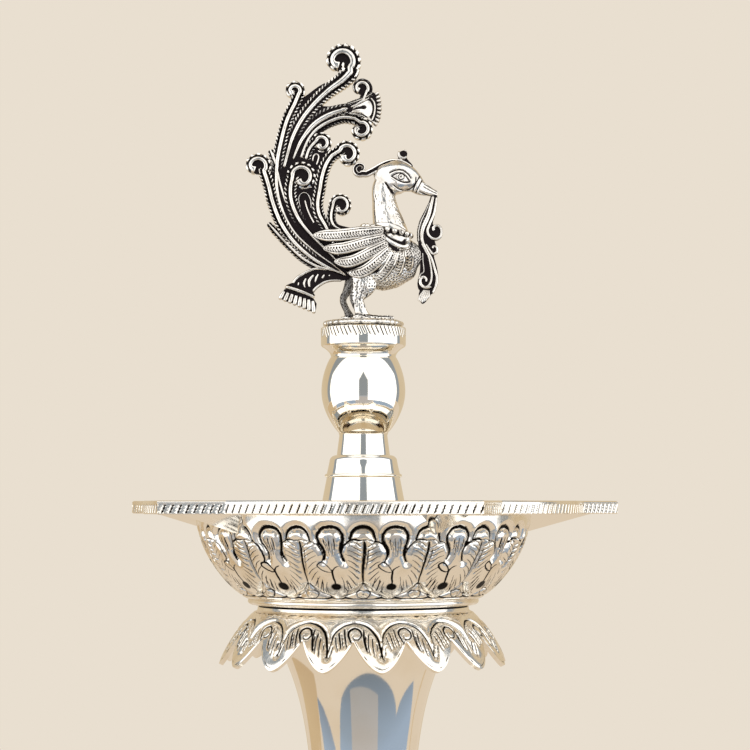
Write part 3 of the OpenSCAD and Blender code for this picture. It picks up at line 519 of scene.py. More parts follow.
def footPlace(u, v):
    # Rope cuts like the rim's, between two plain edges
    row = gridIndex(v, len(footHeights) - 1)
    h, a = footHeights[row], 2 * math.pi * u
    phase = (u - h * footRope["lean"] / (2 * math.pi * footRope["r"])) * footRope["cuts"]
    off = np.abs((phase + 0.05 * np.sin(a * 9)) % 1 - 0.5)
    band = smoothStep(0.5, 0.8, h) * (1 - smoothStep(3.9, 4.3, h))
    cut = (1 - smoothStep(0.05, 0.17, off)) * band
    line = 1 - smoothStep(0.06, 0.25, np.abs(h - footRope["lineZ"]))
    bevel = 0.5 * smoothStep(4.8, 5.5, h) ** 2 + 0.3 * (1 - smoothStep(0, 0.3, h))
    outer = row < footRope["rows"]
    r = np.where(outer, footRope["r"] - footRope["depth"] * cut - footRope["lineDepth"] * line - bevel,
                 footRope["inner"])
    r[row == len(footHeights) - 1] = footRope["r"] - 0.3
    return onAxis(a, r, h), np.where(outer, np.maximum(cut, 0.6 * line), 0)


gridPiece("footBand", [(footRope["cuts"] * 10, len(footHeights) - 1, footPlace)], "pedestal", "chased_silver",
          ["foot_band"], 40)

bowl = {"foot": 28, "top": 41.5, "from": 226.9, "to": 248.6, "swell": 0.7, "sheet": 1.2, "leaves": 16,
        "columns": 620, "rows": 132, "coarse": 26, "pixel": 0.232, "leafX": 363.5, "budX": 331.5, "seedX": 338.0,
        "borderY": 598.5}
bowlCut = {"wander": 0.006, "shake": 0.035, "reach": 0.34, "deep": 0.75, "fine": 0.2, "fineInk": 0.8,
           "swell": 0.85, "swellReach": 0.95, "sink": 0.55}
# Lines in the photograph's pixels: first width, last width, points from the leaf's or bud's middle
leafLines = [
    (3.4, 1.6, [(1, 543), (1.7, 550), (.5, 562), (-.3, 575), (0, 586)], "outline"),
    (2.0, 2.2, [(-2.5, 541), (-8.5, 540), (-14, 541.5), (-19, 545), (-21.5, 550), (-22.5, 556), (-20.5, 562)], "cut"),
    (3.4, 3.4, [(-13.5, 541), (-12, 534), (-7.5, 529.5), (-.5, 527.5), (6.5, 529.5), (10.5, 534), (12.5, 541)],
     "outline"),
    (1.4, 1.4, [(-13.5, 541), (-7.5, 539), (-.5, 541), (5.5, 540), (11.5, 543)], "cut"),
    (2.0, 2.0, [(12, 542), (17, 543), (21, 546.5), (23.5, 552), (24, 558), (21, 563)], "cut"),
    (1.2, 1.0, [(5.5, 549), (4.5, 560), (2.5, 570)], "cut"),
    (2.7, 2.9, [(-1, 585), (-3.5, 589), (-9.5, 594), (-17.5, 597.5)], "outline"),
    (2.7, 2.9, [(1, 585), (4, 589), (10, 594), (18, 597.5)], "outline"),
    (1.6, 1.6,
     [(-7, 594.5), (-3.5, 591.8), (0, 591.2), (3.5, 591.8), (7, 594.5), (3.5, 597), (-3.5, 597), (-7, 594.5)],
     "cut"),
    (1.2, 1.2, [(-1.2, 593.8), (1.2, 593.8)], "cut")]
barbs = [[(-2.5, 547), (-7.5, 543), (-12.5, 541.5)], [(-2, 552), (-8.5, 547.5), (-14.5, 545)],
         [(-2, 557), (-9.5, 552), (-17, 549)], [(-2.5, 562), (-10.5, 556.5), (-17.5, 554)],
         [(-4.5, 567), (-10.5, 562), (-16, 559.5)], [(-3.5, 573), (-9.5, 568), (-15.5, 565)],
         [(-4.5, 579), (-9.5, 573.5), (-14.5, 569.5)], [(-6.5, 585), (-11, 579), (-15.5, 574)],
         [(-11.5, 588), (-14, 583), (-16.5, 579)], [(-15, 591), (-17.5, 587.5), (-19, 584)]]
for barb in barbs:
    leafLines.append((1.7, 0.9, barb, "cut"))
    leafLines.append((1.3, 0.8, [(-x * 0.98 + 1.5, y + 1.2) for x, y in barb], "cut"))
budLines = [
    (3.6, 3.2, [(13, 563), (10, 556), (10.5, 550), (12.5, 543), (13, 538), (12, 534), (8, 529.5), (0, 527.5),
                (-8, 529.5), (-12, 534), (-13, 538), (-11.5, 544), (-7.5, 550), (-6.5, 556), (-8, 561)], "outline"),
    (2.4, 1.2, [(-6, 539), (-5.5, 543), (-3.5, 550)], "cut"), (2.2, 1.1, [(-1, 538), (-.5, 545), (.5, 552)], "cut"),
    (2.4, 1.2, [(4.5, 538.5), (5, 545), (4.5, 551)], "cut"), (1.2, 0.9, [(2.2, 542), (2.6, 549), (2.2, 555)], "cut"),
    (1.2, 0.9, [(-3.5, 541.5), (-2, 549), (-1.2, 556)], "cut")]
seedLines = [
    (12.5, 12.5, [(-.8, 586), (.8, 586)], "punch"), (3.0, 2.6, [(0, 583), (-1.5, 575), (-1.2, 569)], "cut"),
    (2.2, 1.6, [(-1.5, 571), (1, 567.5), (6, 565.5)], "cut"),
    (2.2, 2.2, [(-2, 571.5), (-6, 571.5), (-12, 569), (-16, 565), (-13, 562.5), (-8, 564), (-4, 567.5), (-2, 571.5)],
     "cut"),
    (1.3, 1.1, [(-8, 581), (-9.5, 587), (-7, 592.5), (-2, 594)], "cut"),
    (2.2, 1.6, [(-12.5, 579), (-13.5, 590)], "cut"), (1.6, 1.2, [(-17, 577), (-18, 587)], "cut"),
    (1.4, 1.0, [(11, 580), (12, 588), (9, 594)], "cut"), (1.2, 1.0, [(7, 576), (8.5, 583), (7.5, 590)], "cut")]


def bowlRadius(z):
    t = np.clip((z - bowl["from"]) / (bowl["to"] - bowl["from"]), 0, 1)
    return bowl["foot"] + (bowl["top"] - bowl["foot"]) * np.sin(math.pi / 2 * t) ** bowl["swell"]


def wallSteps(low, high, count):
    # Heights packed towards the foot, where the wall turns fastest
    return low + (high - low) * np.linspace(0, 1, count) ** 2


bowlSide = np.array([(bowlRadius(z), z) for z in wallSteps(bowl["from"], bowl["to"], 300)])
bowlRun = lengthAlong(bowlSide)


def tracedLines(lines, middleX, pixel, radiusAt, side, run):
    # Photograph lines as (mm round, mm along) from a motif's own middle line
    way = np.sign(side[-1, 1] - side[0, 1])
    traced = []
    for first, last, points, role in lines:
        spots = []
        for x, y in points:
            angle, z = onTurned(middleX + x, y, radiusAt)
            middle, _ = onTurned(middleX, y, radiusAt)
            spots.append(((angle - middle) * radiusAt(z), np.interp(way * z, way * side[:, 1], run)))
        traced.append((first * pixel, last * pixel, smoothLine(spots, 3), role))
    return traced


motifs = [tracedLines(lines, middleX, bowl["pixel"], bowlRadius, bowlSide, bowlRun)
          for lines, middleX in ((leafLines, bowl["leafX"]), (budLines, bowl["budX"]), (seedLines, bowl["seedX"]))]
leafStep = 2 * math.pi / bowl["leaves"]
leafMiddles = [i * leafStep for i in range(bowl["leaves"])]
budMiddles = [(i + 0.5) * leafStep for i in range(bowl["leaves"])]
motifMiddles = (leafMiddles, budMiddles, budMiddles)
borderRun = np.interp(onTurned(photo["axisX"], bowl["borderY"], bowlRadius)[1], bowlSide[:, 1], bowlRun)


def chasedHalves(name, look, side, ceiling, motifs, border, body, node):
    # A chased wall in two halves; its unseen inside has fewer rows
    spots, out, run = pathFrames(side, look["rows"] + 1)
    inner = np.column_stack([spots[::-look["coarse"], 0] - look["sheet"],
                             np.minimum(spots[::-look["coarse"], 1], ceiling)])
    loop = np.vstack([spots, inner, spots[:1]])
    rows = len(loop) - 1

    def halfFrom(start, end):
        def place(u, v):
            row = gridIndex(v, rows)
            angle = start + (end - start) * u
            r, z = loop[row].T
            outside = np.flatnonzero(row <= look["rows"])
            k = row[outside]
            parts = [chasedRelief(angle[outside], run[k], spots[k, 0], cells, lines, bowlCut)
                     for cells, lines in zip(motifMiddles, motifs)]
            # Where two motifs meet, the deeper of the two counts
            rise = np.minimum.reduce([part[0] for part in parts])
            dark = np.maximum.reduce([part[1] for part in parts])
            fade = smoothStep(0, 1.0, run[k]) * smoothStep(0, 1.4, run[-1] - run[k])
            height, ink = border(rise, dark, run[k], fade)
            r[outside] += out[k, 0] * height
            z[outside] += out[k, 1] * height
            inkAll = np.zeros(len(u))
            inkAll[outside] = ink
            return onAxis(angle, r, z), inkAll
        return place

    for half, start in (("Front", -math.pi / 2), ("Back", math.pi / 2)):
        gridPiece(name + half, [(look["columns"], rows, halfFrom(start, start + math.pi))], body, "chased_silver",
                  [node])


def bowlBorder(rise, dark, run, fade):
    border = 1 - smoothStep(0.12, 0.34, np.abs(run - borderRun))
    return np.minimum(rise, 0.1 - 0.35 * border) * fade, np.maximum(dark, border)


chasedHalves("bowl", bowl, bowlSide, math.inf, motifs, bowlBorder, "bowl", "bowl_shell")
print("bowl chased")

# The foot's dome carries the bowl's leaves the other way up, larger
dome = {"top": 21, "foot": 50.5, "low": 5.5, "high": 33.5, "swell": 0.7, "sheet": 1.2, "scale": 1.2, "margin": 1.2,
        "columns": 510, "rows": 128, "coarse": 16}


def domeRadius(z):
    t = np.clip((z - dome["low"]) / (dome["high"] - dome["low"]), 0, 1)
    return dome["top"] + (dome["foot"] - dome["top"]) * np.sin(math.pi / 2 * (1 - t)) ** dome["swell"]


domeSide = np.array([(domeRadius(z), z) for z in wallSteps(dome["high"], dome["low"], 300)[::-1]])
domeMotifs = [[(first * dome["scale"], last * dome["scale"], np.column_stack([
    line[:, 0] * dome["scale"], dome["scale"] * (bowlRun[-1] - line[:, 1]) + dome["margin"]]), role)
    for first, last, line, role in lines] for lines in motifs]
domeBorderRun = dome["scale"] * bowlRun[-1] + dome["margin"] + 0.6


def domeBorder(rise, dark, run, fade):
    # The motifs' narrow ends stop at a border, and the dome is plain above it
    plain = smoothStep(domeBorderRun - 0.6, domeBorderRun - 0.1, run)
    border = 1 - smoothStep(0.15, 0.4, np.abs(run - domeBorderRun))
    return np.minimum(rise * (1 - plain) - 0.35 * border, 0.15) * fade, np.maximum(dark * (1 - plain), border) * fade


chasedHalves("dome", dome, domeSide, dome["high"] - dome["sheet"], domeMotifs, domeBorder, "pedestal", "base_dome")
print("dome chased")

skirt = {"top": 26, "tip": 35.7, "from": 223.9, "h": 12.8, "swell": 0.65, "notch": 6.9, "tipSwell": 1.7,
         "sheet": 1.0, "tips": 16, "tipAngle": 7.1, "columns": 1056, "rows": 64, "innerRows": 8,
         "under": ((25, 222.9), (10.02, 222.9), (10.02, 223.9)), "middleX": 353.5, "pixel": 0.235, "seam": 0.75}
skirtCut = {"wander": 0.004, "shake": 0.03, "reach": 0.32, "deep": 0.5, "fine": 0.22, "fineInk": 0.85,
            "swell": 0.5, "swellReach": 0.8, "sink": 0.35}
skirtLines = [
    (2.0, 2.6, [(-22.5, 640), (-20.5, 633), (-15.5, 627), (-7.5, 622.5), (.5, 621), (9.5, 623), (17.5, 628),
                (23.5, 636), (27.5, 647), (30, 656)], "outline"),
    (3.2, 1.4, [(-1.5, 643), (-4, 638), (-5.5, 633), (-3.5, 629), (1.5, 627.5), (6, 630), (7.5, 634.5), (4.5, 638.5),
                (0, 638), (-1, 634.5)], "cut"),
    (2.2, 1.4, [(-9.5, 628), (-8.5, 637), (-6.5, 647)], "cut"),
    (2.2, 1.4, [(-15, 631), (-13.5, 640), (-12.5, 648)], "cut"),
    (1.8, 1.2, [(-18.5, 635), (-17.5, 642), (-15.5, 650)], "cut"),
    (1.8, 1.2, [(-22.5, 641), (-25.5, 650), (-28.5, 657)], "cut"),
    (2.4, 1.6, [(9.5, 629), (10.5, 640), (13.5, 650)], "cut"),
    (1.8, 1.2, [(14.5, 632), (14.5, 641), (16.5, 652)], "cut"),
    (1.8, 1.2, [(18.5, 637), (19.5, 645), (21.5, 655)], "cut"), (1.6, 1.2, [(23.5, 642), (24.5, 650)], "cut"),
    (1.3, 1.0, [(12, 635), (12.5, 644), (15, 651)], "cut"), (1.2, 1.0, [(-12, 633), (-11, 641), (-9.5, 647)], "cut"),
    (1.4, 1.0, [(-20.5, 645), (-22.5, 652), (-26, 660)], "cut")]


def skirtRadius(z):
    t = np.clip((skirt["from"] - z) / skirt["h"], 0, 1)
    return skirt["top"] + (skirt["tip"] - skirt["top"]) * t ** skirt["swell"]


skirtSide = np.array([(skirtRadius(z), z) for z in skirt["from"] - skirt["h"] * np.linspace(0, 1, 240) ** 1.6])
skirtRun = lengthAlong(skirtSide)
skirtOut = np.gradient(skirtSide, axis=0)
skirtOut = np.column_stack([-skirtOut[:, 1], skirtOut[:, 0]]) / np.hypot(*skirtOut.T)[:, None]
skirtTraced = tracedLines(skirtLines, skirt["middleX"], skirt["pixel"], skirtRadius, skirtSide, skirtRun)
tipStep = 2 * math.pi / skirt["tips"]
notchMiddles = [math.radians(skirt["tipAngle"]) + (i + 0.5) * tipStep for i in range(skirt["tips"])]


def skirtReach(angle):
    # How far down its side the skirt goes at an angle, between two tips
    half = skirt["tip"] * math.sin(tipStep / 2)
    off = (angle - notchMiddles[0] + tipStep / 2) % tipStep - tipStep / 2
    z = np.full(len(angle), skirt["from"] - skirt["h"] * 0.7)
    for _ in range(12):
        u = np.clip(np.abs(skirtRadius(z) * np.sin(off)) / half, 0, 1)
        z = skirt["from"] - skirt["h"] + skirt["notch"] * (1 - u) ** skirt["tipSwell"]
    return np.interp(-z, -skirtSide[:, 1], skirtRun)


skirtRows = skirt["rows"] + skirt["innerRows"] + len(skirt["under"]) + 1


def skirtPlace(u, v):
    # Rows run down the outside, up the inside, and round the flat ring under the bowl
    row = gridIndex(v, skirtRows) % skirtRows
    angle = 2 * math.pi * u
    end = skirtReach(angle)
    outside, inside = row <= skirt["rows"], (row > skirt["rows"]) & (row <= skirt["rows"] + skirt["innerRows"])
    along = np.where(outside, end * row / skirt["rows"],
                     end * (1 - (row - skirt["rows"] - 1) / (skirt["innerRows"] - 1)))
    along = np.clip(along, 0, end)
    r, z, outR, outZ = [np.interp(along, skirtRun, line) for line in (*skirtSide.T, *skirtOut.T)]
    lift, ink = np.zeros(len(u)), np.zeros(len(u))
    k = np.flatnonzero(outside)
    lift[k], ink[k] = chasedRelief(angle[k], along[k], r[k], notchMiddles, skirtTraced, skirtCut)
    hem = end[k] - along[k]
    seam = 1 - smoothStep(0.1, 0.26, np.abs(hem - skirt["seam"]))
    broken = 0.5 + 0.5 * np.sin(angle[k] * 61 + np.sin(angle[k] * 23) * 2)
    ink[k] = np.maximum(ink[k] * smoothStep(0.2, 0.7, hem), seam * 0.9 * broken)
    lift[k] = lift[k] * smoothStep(0.1, 0.9, hem) * smoothStep(0, 1.5, along[k]) - 0.12 * seam * broken
    streaks = np.sin(angle * 37 + np.sin(angle * 11) * 3 + along * 2) + np.sin(angle * 83 + 2) * 0.5
    lift += 0.07 * streaks * smoothStep(0.05, 0.4, along) * (1 - smoothStep(1.2, 2.2, along)) * outside
    lift = np.where(inside, -skirt["sheet"], lift)
    r, z = r + outR * lift, z + outZ * lift
    for step, (flatR, flatZ) in enumerate(skirt["under"]):
        here = row == skirt["rows"] + skirt["innerRows"] + 1 + step
        r[here], z[here] = flatR, flatZ
    return onAxis(angle, r, z), ink


gridPiece("leafSkirt", [(skirt["columns"], skirtRows, skirtPlace)], "bowl", "chased_silver", ["leaf_skirt"])
print("skirt chased")

rim = {"plate": 54.5, "tip": 65, "tipAngle": 42.7, "spouts": (-65.6, 8, 81, 157.5, 223.5), "low": 247.75,
       "h": 3.25, "t": 1.6, "pitch": 1.85, "lean": 0.42, "cutWidth": 0.2, "cutDepth": 0.34,
       "straight": 52, "arc": 0.2, "spoutAngle": 20, "rows": 22, "insets": 32, "lineZ": 2.55, "lineDepth": 0.12}


def plateEdge(inset):
    # The rim's outline from the first spout round, set in, with as many points on each stretch
    tipAngle = math.radians(rim["tipAngle"])
    half = math.asin((rim["tip"] * math.sin(tipAngle) - inset) / (rim["plate"] - inset)) - tipAngle
    tipR = rim["tip"] - inset / math.sin(tipAngle)
    points = []
    turns = [math.radians(a) for a in rim["spouts"]] + [math.radians(rim["spouts"][0] + 360)]
    for here, after, steps in zip(turns, turns[1:], arcSteps):
        tip, nextTip = [tipR * np.array([math.cos(a), math.sin(a)]) for a in (here, after)]
        arc = [(rim["plate"] - inset) * np.array([math.cos(a), math.sin(a)])
               for a in np.linspace(here + half, after - half, steps + 1)]
        points += [tip + (arc[0] - tip) * t for t in np.arange(rim["straight"]) / rim["straight"]]
        points += arc[:-1]
        points += [arc[-1] + (nextTip - arc[-1]) * t for t in np.arange(rim["straight"]) / rim["straight"]]
    return np.array(points + points[:1])


arcSteps = [int(math.radians(b - a - rim["spoutAngle"]) * rim["plate"] / rim["arc"])
            for a, b in zip(rim["spouts"], rim["spouts"][1:] + (rim["spouts"][0] + 360,))]
rimColumns = len(plateEdge(0)) - 1
rimHeights = np.concatenate([np.linspace(0, rim["h"], rim["rows"]), [rim["h"], rim["h"] / 2, 0]])
rimRun = lengthAlong(plateEdge(0))


def rimPlace(u, v):
    # Slanting rope cuts of slightly uneven width, a fine line above them, and rounded edges
    rows = len(rimHeights)
    k = gridIndex(u, rimColumns)
    row = gridIndex(v, rows) % rows
    h = rimHeights[row]
    outer = row < rim["rows"]
    phase = (rimRun[k] - h * rim["lean"]) / (rimRun[-1] / round(rimRun[-1] / rim["pitch"]))
    spread = 1 + 0.25 * np.sin(k * 0.013) + 0.15 * np.sin(k * 0.051 + 1)
    off = np.abs((phase + 0.06 * np.sin(k * 0.021)) % 1 - 0.5) * rim["pitch"]
    band = smoothStep(0.15, 0.45, h) * (1 - smoothStep(2.15, 2.5, h))
    cut = (1 - smoothStep(rim["cutWidth"] * 0.4, rim["cutWidth"] * 1.5, off * spread)) * band
    crown = 0.1 * (off / rim["pitch"] * 2) ** 2 * band
    bevel = 0.3 * smoothStep(2.75, 3.25, h) ** 2 + 0.25 * (1 - smoothStep(0, 0.3, h))
    line = rim["lineDepth"] * (1 - smoothStep(0.0, 0.16, np.abs(h - rim["lineZ"])))
    inset = np.where(outer, cut * rim["cutDepth"] + crown + bevel + line, rim["t"])
    edges = np.array([plateEdge(t) for t in np.linspace(0, rim["t"], rim["insets"] + 1)])
    share = np.clip(inset / rim["t"], 0, 1) * rim["insets"]
    low = np.minimum(share.astype(int), rim["insets"] - 1)
    part = (share - low)[:, None]
    flat = edges[low, k] * (1 - part) + edges[low + 1, k] * part
    ink = np.where(outer, np.maximum(cut, 0.4 * line / rim["lineDepth"]), 0)
    return np.column_stack([flat, rim["low"] + h]), ink


gridPiece("ropeRim", [(rimColumns, len(rimHeights), rimPlace)], "bowl", "chased_silver", ["rim_band"], 35)
print("rim cut,", rimColumns, "columns")

# The peacock's lines are in the photograph's pixels; the perch's top is where its feet stand
bird = {"axisX": 367.5, "footY": 322, "perchTop": 295.9, "pixel": 0.25}


def birdPoint(x, y):
    return np.column_stack([(np.asarray(x) - bird["axisX"]) * bird["pixel"],
                            bird["perchTop"] + (bird["footY"] - np.asarray(y)) * bird["pixel"]])


def alongTable(value):
    # Pairs of (share of the length, value); a bare number holds all along
    return value if isinstance(value, (tuple, list)) else ((0, value), (1, value))


def scrollEnd(middle, r, start, sweep, keep=0.42):
    # A line that rolls round a middle point and hooks inwards; angles are anticlockwise from the right
    t = np.linspace(0, 1, 90)[1:]
    a = np.radians(start + sweep * t)
    radius = r * (1 - 0.08 * t - (0.92 - keep) * smoothStep(0.74, 1, t))
    return np.column_stack([middle[0] + radius * np.cos(a), middle[1] - radius * np.sin(a)])


# Where a ribbon has points across it, closest where its section turns, and then all round it
acrossShares = np.array([0, .08, .15, .21, .28, .36, .43, .5, .58, .67, .74, .85, .965, 1])
acrossAll = np.concatenate([-acrossShares[::-1], acrossShares[1:]])
aroundShares = np.concatenate([acrossAll, acrossAll[-2:0:-1]])
aroundSides = np.concatenate([np.full(len(acrossAll), -1.0), np.full(len(acrossAll) - 2, 1.0)])


# Each section gives a ribbon's height, ink and reach across it, from -1 to 1 of its half width
def featherSection(share, along, look, rolled, outer):
    # A wire down the middle, a dark groove with a line of beads, and a toothed edge that the inside of a scroll lacks
    s = np.abs(share)
    grown = along + look["free"]
    curled = smoothStep(0.0, 0.06, rolled)
    wireHalf = 0.17 + 0.12 * smoothStep(3, 24, grown) + 0.13 * curled + 0.4 * smoothStep(0.8, 1, rolled)
    wire = (0.6 + 0.4 * np.sqrt(np.clip(1 - (s / wireHalf) ** 2, 0, 1))) * (s < wireHalf)
    beads = smoothStep(0.3, 0.8, 0.5 + 0.5 * np.cos(2 * math.pi * along / (look["pitch"] * 0.6)))
    phase = along / look["pitch"] - (1.8 - 1.3 * curled) * s
    teeth = smoothStep(0.12, 0.5, 0.5 + 0.5 * np.cos(2 * math.pi * phase))
    line = np.exp(-((s - 0.43) / 0.06) ** 2) * (1 - curled)
    fringe = smoothStep(0.55, 0.66, s) * np.where(outer, 1, 1 - curled) * smoothStep(16, 34, grown)
    # The edge slopes outwards, so that its teeth catch the light
    slope = 1 - 0.32 * np.clip((s - 0.6) / 0.4, 0, 1)
    height = 0.42 + 0.58 * wire + 0.2 * line * beads + fringe * (0.04 + 0.5 * teeth) * slope
    shown = look["fringe"] + (1 - look["fringe"]) * curled
    bright = np.clip(wire * 2 + line * beads * look["beads"] + fringe * teeth * shown, 0, 1)
    return height, 1 - bright, 1 - 0.1 * fringe * (1 - teeth)


def wireSection(share, along, look, rolled, outer):
    return 0.5 + 0.5 * np.sqrt(np.clip(1 - share ** 2, 0, 1)), smoothStep(0.8, 1, np.abs(share)), 1


def channelSection(share, along, look, rolled, outer):
    # Two bright edges with a dark ticked channel between
    s = np.abs(share)
    edge = smoothStep(look["rim"], look["rim"] + 0.15, s) * (1 - smoothStep(0.92, 1.02, s))
    ticks = 0.5 + 0.5 * np.cos(2 * math.pi * along / look["pitch"])
    height = 0.62 + 0.38 * edge * (1 - 0.5 * np.clip((s - 0.4) / 0.6, 0, 1))
    return height, np.clip(1 - edge * 1.5, 0, 1) * (1 - look["ticks"] * ticks), 1


def vaneSection(share, along, look, rolled, outer):
    # A wing feather: smooth rims, a line of punched dots, and slanting barbs below it
    s = np.abs(share)
    rim = smoothStep(0.56, 0.66, s) * (1 - smoothStep(0.84, 0.95, s))
    punches = np.exp(-((share + 0.1) / 0.17) ** 2) * (0.5 + 0.5 * np.cos(2 * math.pi * along / 0.7))
    dots = smoothStep(0.25, 0.6, punches)
    slant = smoothStep(0.35, 0.75, 0.5 + 0.5 * np.cos(2 * math.pi * (along + share * 1.1) / 0.66))
    barbs = smoothStep(0.06, 0.16, share) * (1 - smoothStep(0.5, 0.58, share)) * slant
    fine = smoothStep(0.3, 0.36, -share) * (1 - smoothStep(0.52, 0.58, -share)) * slant * 0.7
    line = np.exp(-((s - 0.59) / 0.06) ** 2)
    height = np.sqrt(np.clip(1.05 - s ** 2 * 0.8, 0, 1)) + 0.16 * rim - 0.35 * dots - 0.22 * barbs \
        - 0.14 * fine - 0.2 * line
    ink = np.clip(dots + 0.95 * barbs + 0.6 * fine + 0.9 * line + smoothStep(0.84, 0.93, s), 0, 1)
    return height, ink, 1


def ribbonPart(points, half, thick, section=featherSection, scroll=None, offset=0, taper=(0.7, 0.25), look=None,
               step=0.22, narrow=0.42, lift=1.0):
    # One swept ribbon as a grid part: half widths in pixels along it, thickness in mm
    half, thick, offset = alongTable(half), alongTable(thick), alongTable(offset)
    look = {"pitch": 0.95, "fringe": 0.9, "beads": 0.25, "free": 40} | (look or {})
    line = smoothLine(points, 8)
    stem = len(line)
    if scroll:
        line = np.vstack([line[:-1], scrollEnd(*scroll)])
    full = birdPoint(line[:, 0], line[:, 1])
    lengths = lengthAlong(full)
    count = max(int(lengths[-1] / step), 12)
    middle, total = evenLine(full, count + 1)
    along = np.linspace(0, total, count + 1)
    t = along / total
    rolled = np.zeros(count + 1)
    if scroll:
        rolled = np.clip((along - lengths[stem - 1]) / max(total - lengths[stem - 1], 1e-6), 0, 1)
    width = np.interp(t, *zip(*half)) * bird["pixel"] * (1 - narrow * rolled ** 2)
    height = np.interp(t, *zip(*thick))
    ends = np.clip(along / taper[0], 0, 1) * np.clip((total - along) / taper[1], 0, 1)
    ends = np.sqrt(np.clip(1 - (1 - ends) ** 2, 0, 1))
    run = np.gradient(middle, axis=0)
    run /= np.maximum(np.hypot(*run.T)[:, None], 1e-9)
    left = np.column_stack([-run[:, 1], run[:, 0]])
    inner = 1 - 0.45 * smoothStep(0, 0.12, rolled)
    turnLeft = bool(scroll) and scroll[3] > 0
    leftWidth = width * (inner if turnLeft else 1)
    rightWidth = width * (inner if scroll and not turnLeft else 1)
    away = np.interp(t, *zip(*offset))

    def place(u, v):
        i = gridIndex(u, count)
        j = gridIndex(v, len(aroundShares)) % len(aroundShares)
        share, side = aroundShares[j], aroundSides[j]
        outer = share < 0 if turnLeft else share > 0
        tall, ink, reach = section(share, along[i], look, rolled[i], outer)
        edge = (np.abs(share) < 0.99).astype(float)
        out = np.where(share > 0, leftWidth[i], rightWidth[i]) * share * reach * ends[i]
        spot = middle[i] + left[i] * out[:, None]
        deep = away[i] + side * height[i] * tall * edge * ends[i] * lift
        return np.column_stack([spot[:, 0], deep, spot[:, 1]]), ink
    return count, len(aroundShares), place


print("ribbons ready")
tail = {"half": 1.6, "root": 14, "pitch": 1.0, "beads": 0.15, "fringe": 1.0, "innerFringe": 0.55, "narrow": 0.1,
        "step": 0.16}
tailHeight = ((0, tail["half"] * 0.9), (0.3, tail["half"]), (1, tail["half"]))
# Each feather: its line, its half width, its scroll (middle, radius, first angle, sweep) and its height
tailFeathers = [
    ([(287.8, 169), (291.5, 155), (296.5, 138), (305.5, 120), (318, 104), (332, 90.5), (346, 80), (355, 71)],
     7.2, ((346.2, 60.9), 10, -40, 275), 1.0),
    ([(296.8, 161), (301, 150), (306.5, 139), (318, 124.5), (333, 115), (346, 110.3), (352, 108.4)], 6.4, None, 0.97),
    ([(304.5, 159.5), (308.5, 148), (313.5, 138), (321, 129.5), (333, 122), (347, 117.6), (360, 119)],
     5.6, ((365.4, 129.2), 6.4, 100, -310), 0.93),
    ([(309.5, 161), (312.5, 151), (317, 144.5)], 5.4, ((325.4, 143.4), 5.6, 160, -310), 0.9),
    ([(345, 262), (331, 230), (323.6, 216), (321.8, 204), (324, 190), (326.2, 177), (330.4, 164.5), (336.5, 155.5)],
     6, ((351, 154), 7.6, 160, -315), 0.95),
    ([(345, 266), (322, 243), (310, 230), (302.5, 219.5), (297.2, 208), (294.6, 197), (294.6, 187)],
     6.2, ((305.4, 177.2), 8.8, 185, -320), 1.1),
    ([(366, 234), (350, 231.6), (340, 228.5), (335.6, 221.5), (335.4, 213.5)], 4.6, ((344.4, 206), 7.2, 180, -325),
     0.9),
    ([(351, 277), (335, 270), (316, 259), (298, 243), (285, 224), (277, 204), (273, 188), (270, 178)], 6.2,
     ((261.8, 167), 7.6, -40, 275), 0.94),
    ([(351, 277), (337, 266), (318, 252), (299, 234), (287, 212), (281, 190), (281, 165), (285, 142), (291, 120),
      (299, 103)], 6, ((298.7, 91), 4.8, -35, 265), 0.96),
    ([(348, 274), (334, 271), (320, 267), (306, 259), (292, 246), (280, 233), (272, 224)], 4, None, 0.8),
    ([(290, 205), (283, 180), (280, 165), (274, 150)], 4.2, None, 0.78),
    ([(357, 107), (368, 100)], 5, ((366, 88.2), 5.8, -40, 260), 0.88),
    ([(304.8, 210), (302.8, 199.5), (306, 194.3), (311, 194.6), (314.6, 201), (315.2, 210)], 1.9, None, 0.9)]
innerOnes = (1, 2, 3)
rootShares = {0: 13, 1: 13, 2: 13, 3: 30, 5: 6, 8: -12}  # mm of a feather hidden before its fringe may start
feathers = []
for i, (line, half, scroll, lift) in enumerate(tailFeathers):
    broad = 1.3 if i < 2 else 1.0
    spread = ((0, half * 0.6), (0.2, half), (0.7, half * broad), (0.9, half), (1, half * 0.6))
    if scroll:
        spread = ((0, half * (0.85 if i < 4 else 0.5)), (0.15, half * 0.85), (0.5, half), (0.7, half * broad),
                  (0.85, half * broad), (1, half))
    look = {"fringe": tail["innerFringe" if i in innerOnes else "fringe"], "pitch": tail["pitch"],
            "beads": tail["beads"], "free": rootShares.get(i, tail["root"])}
    feathers.append(ribbonPart(line, spread, tailHeight, scroll=scroll, lift=lift, look=look, narrow=tail["narrow"],
                               step=tail["step"]))
for name, parts in (("tailFeathersLong", feathers[:3]), ("tailFeathersShort", feathers[3:9])):
    gridPiece(name, parts, "finial", "cast_silver", ["bird_tail"])

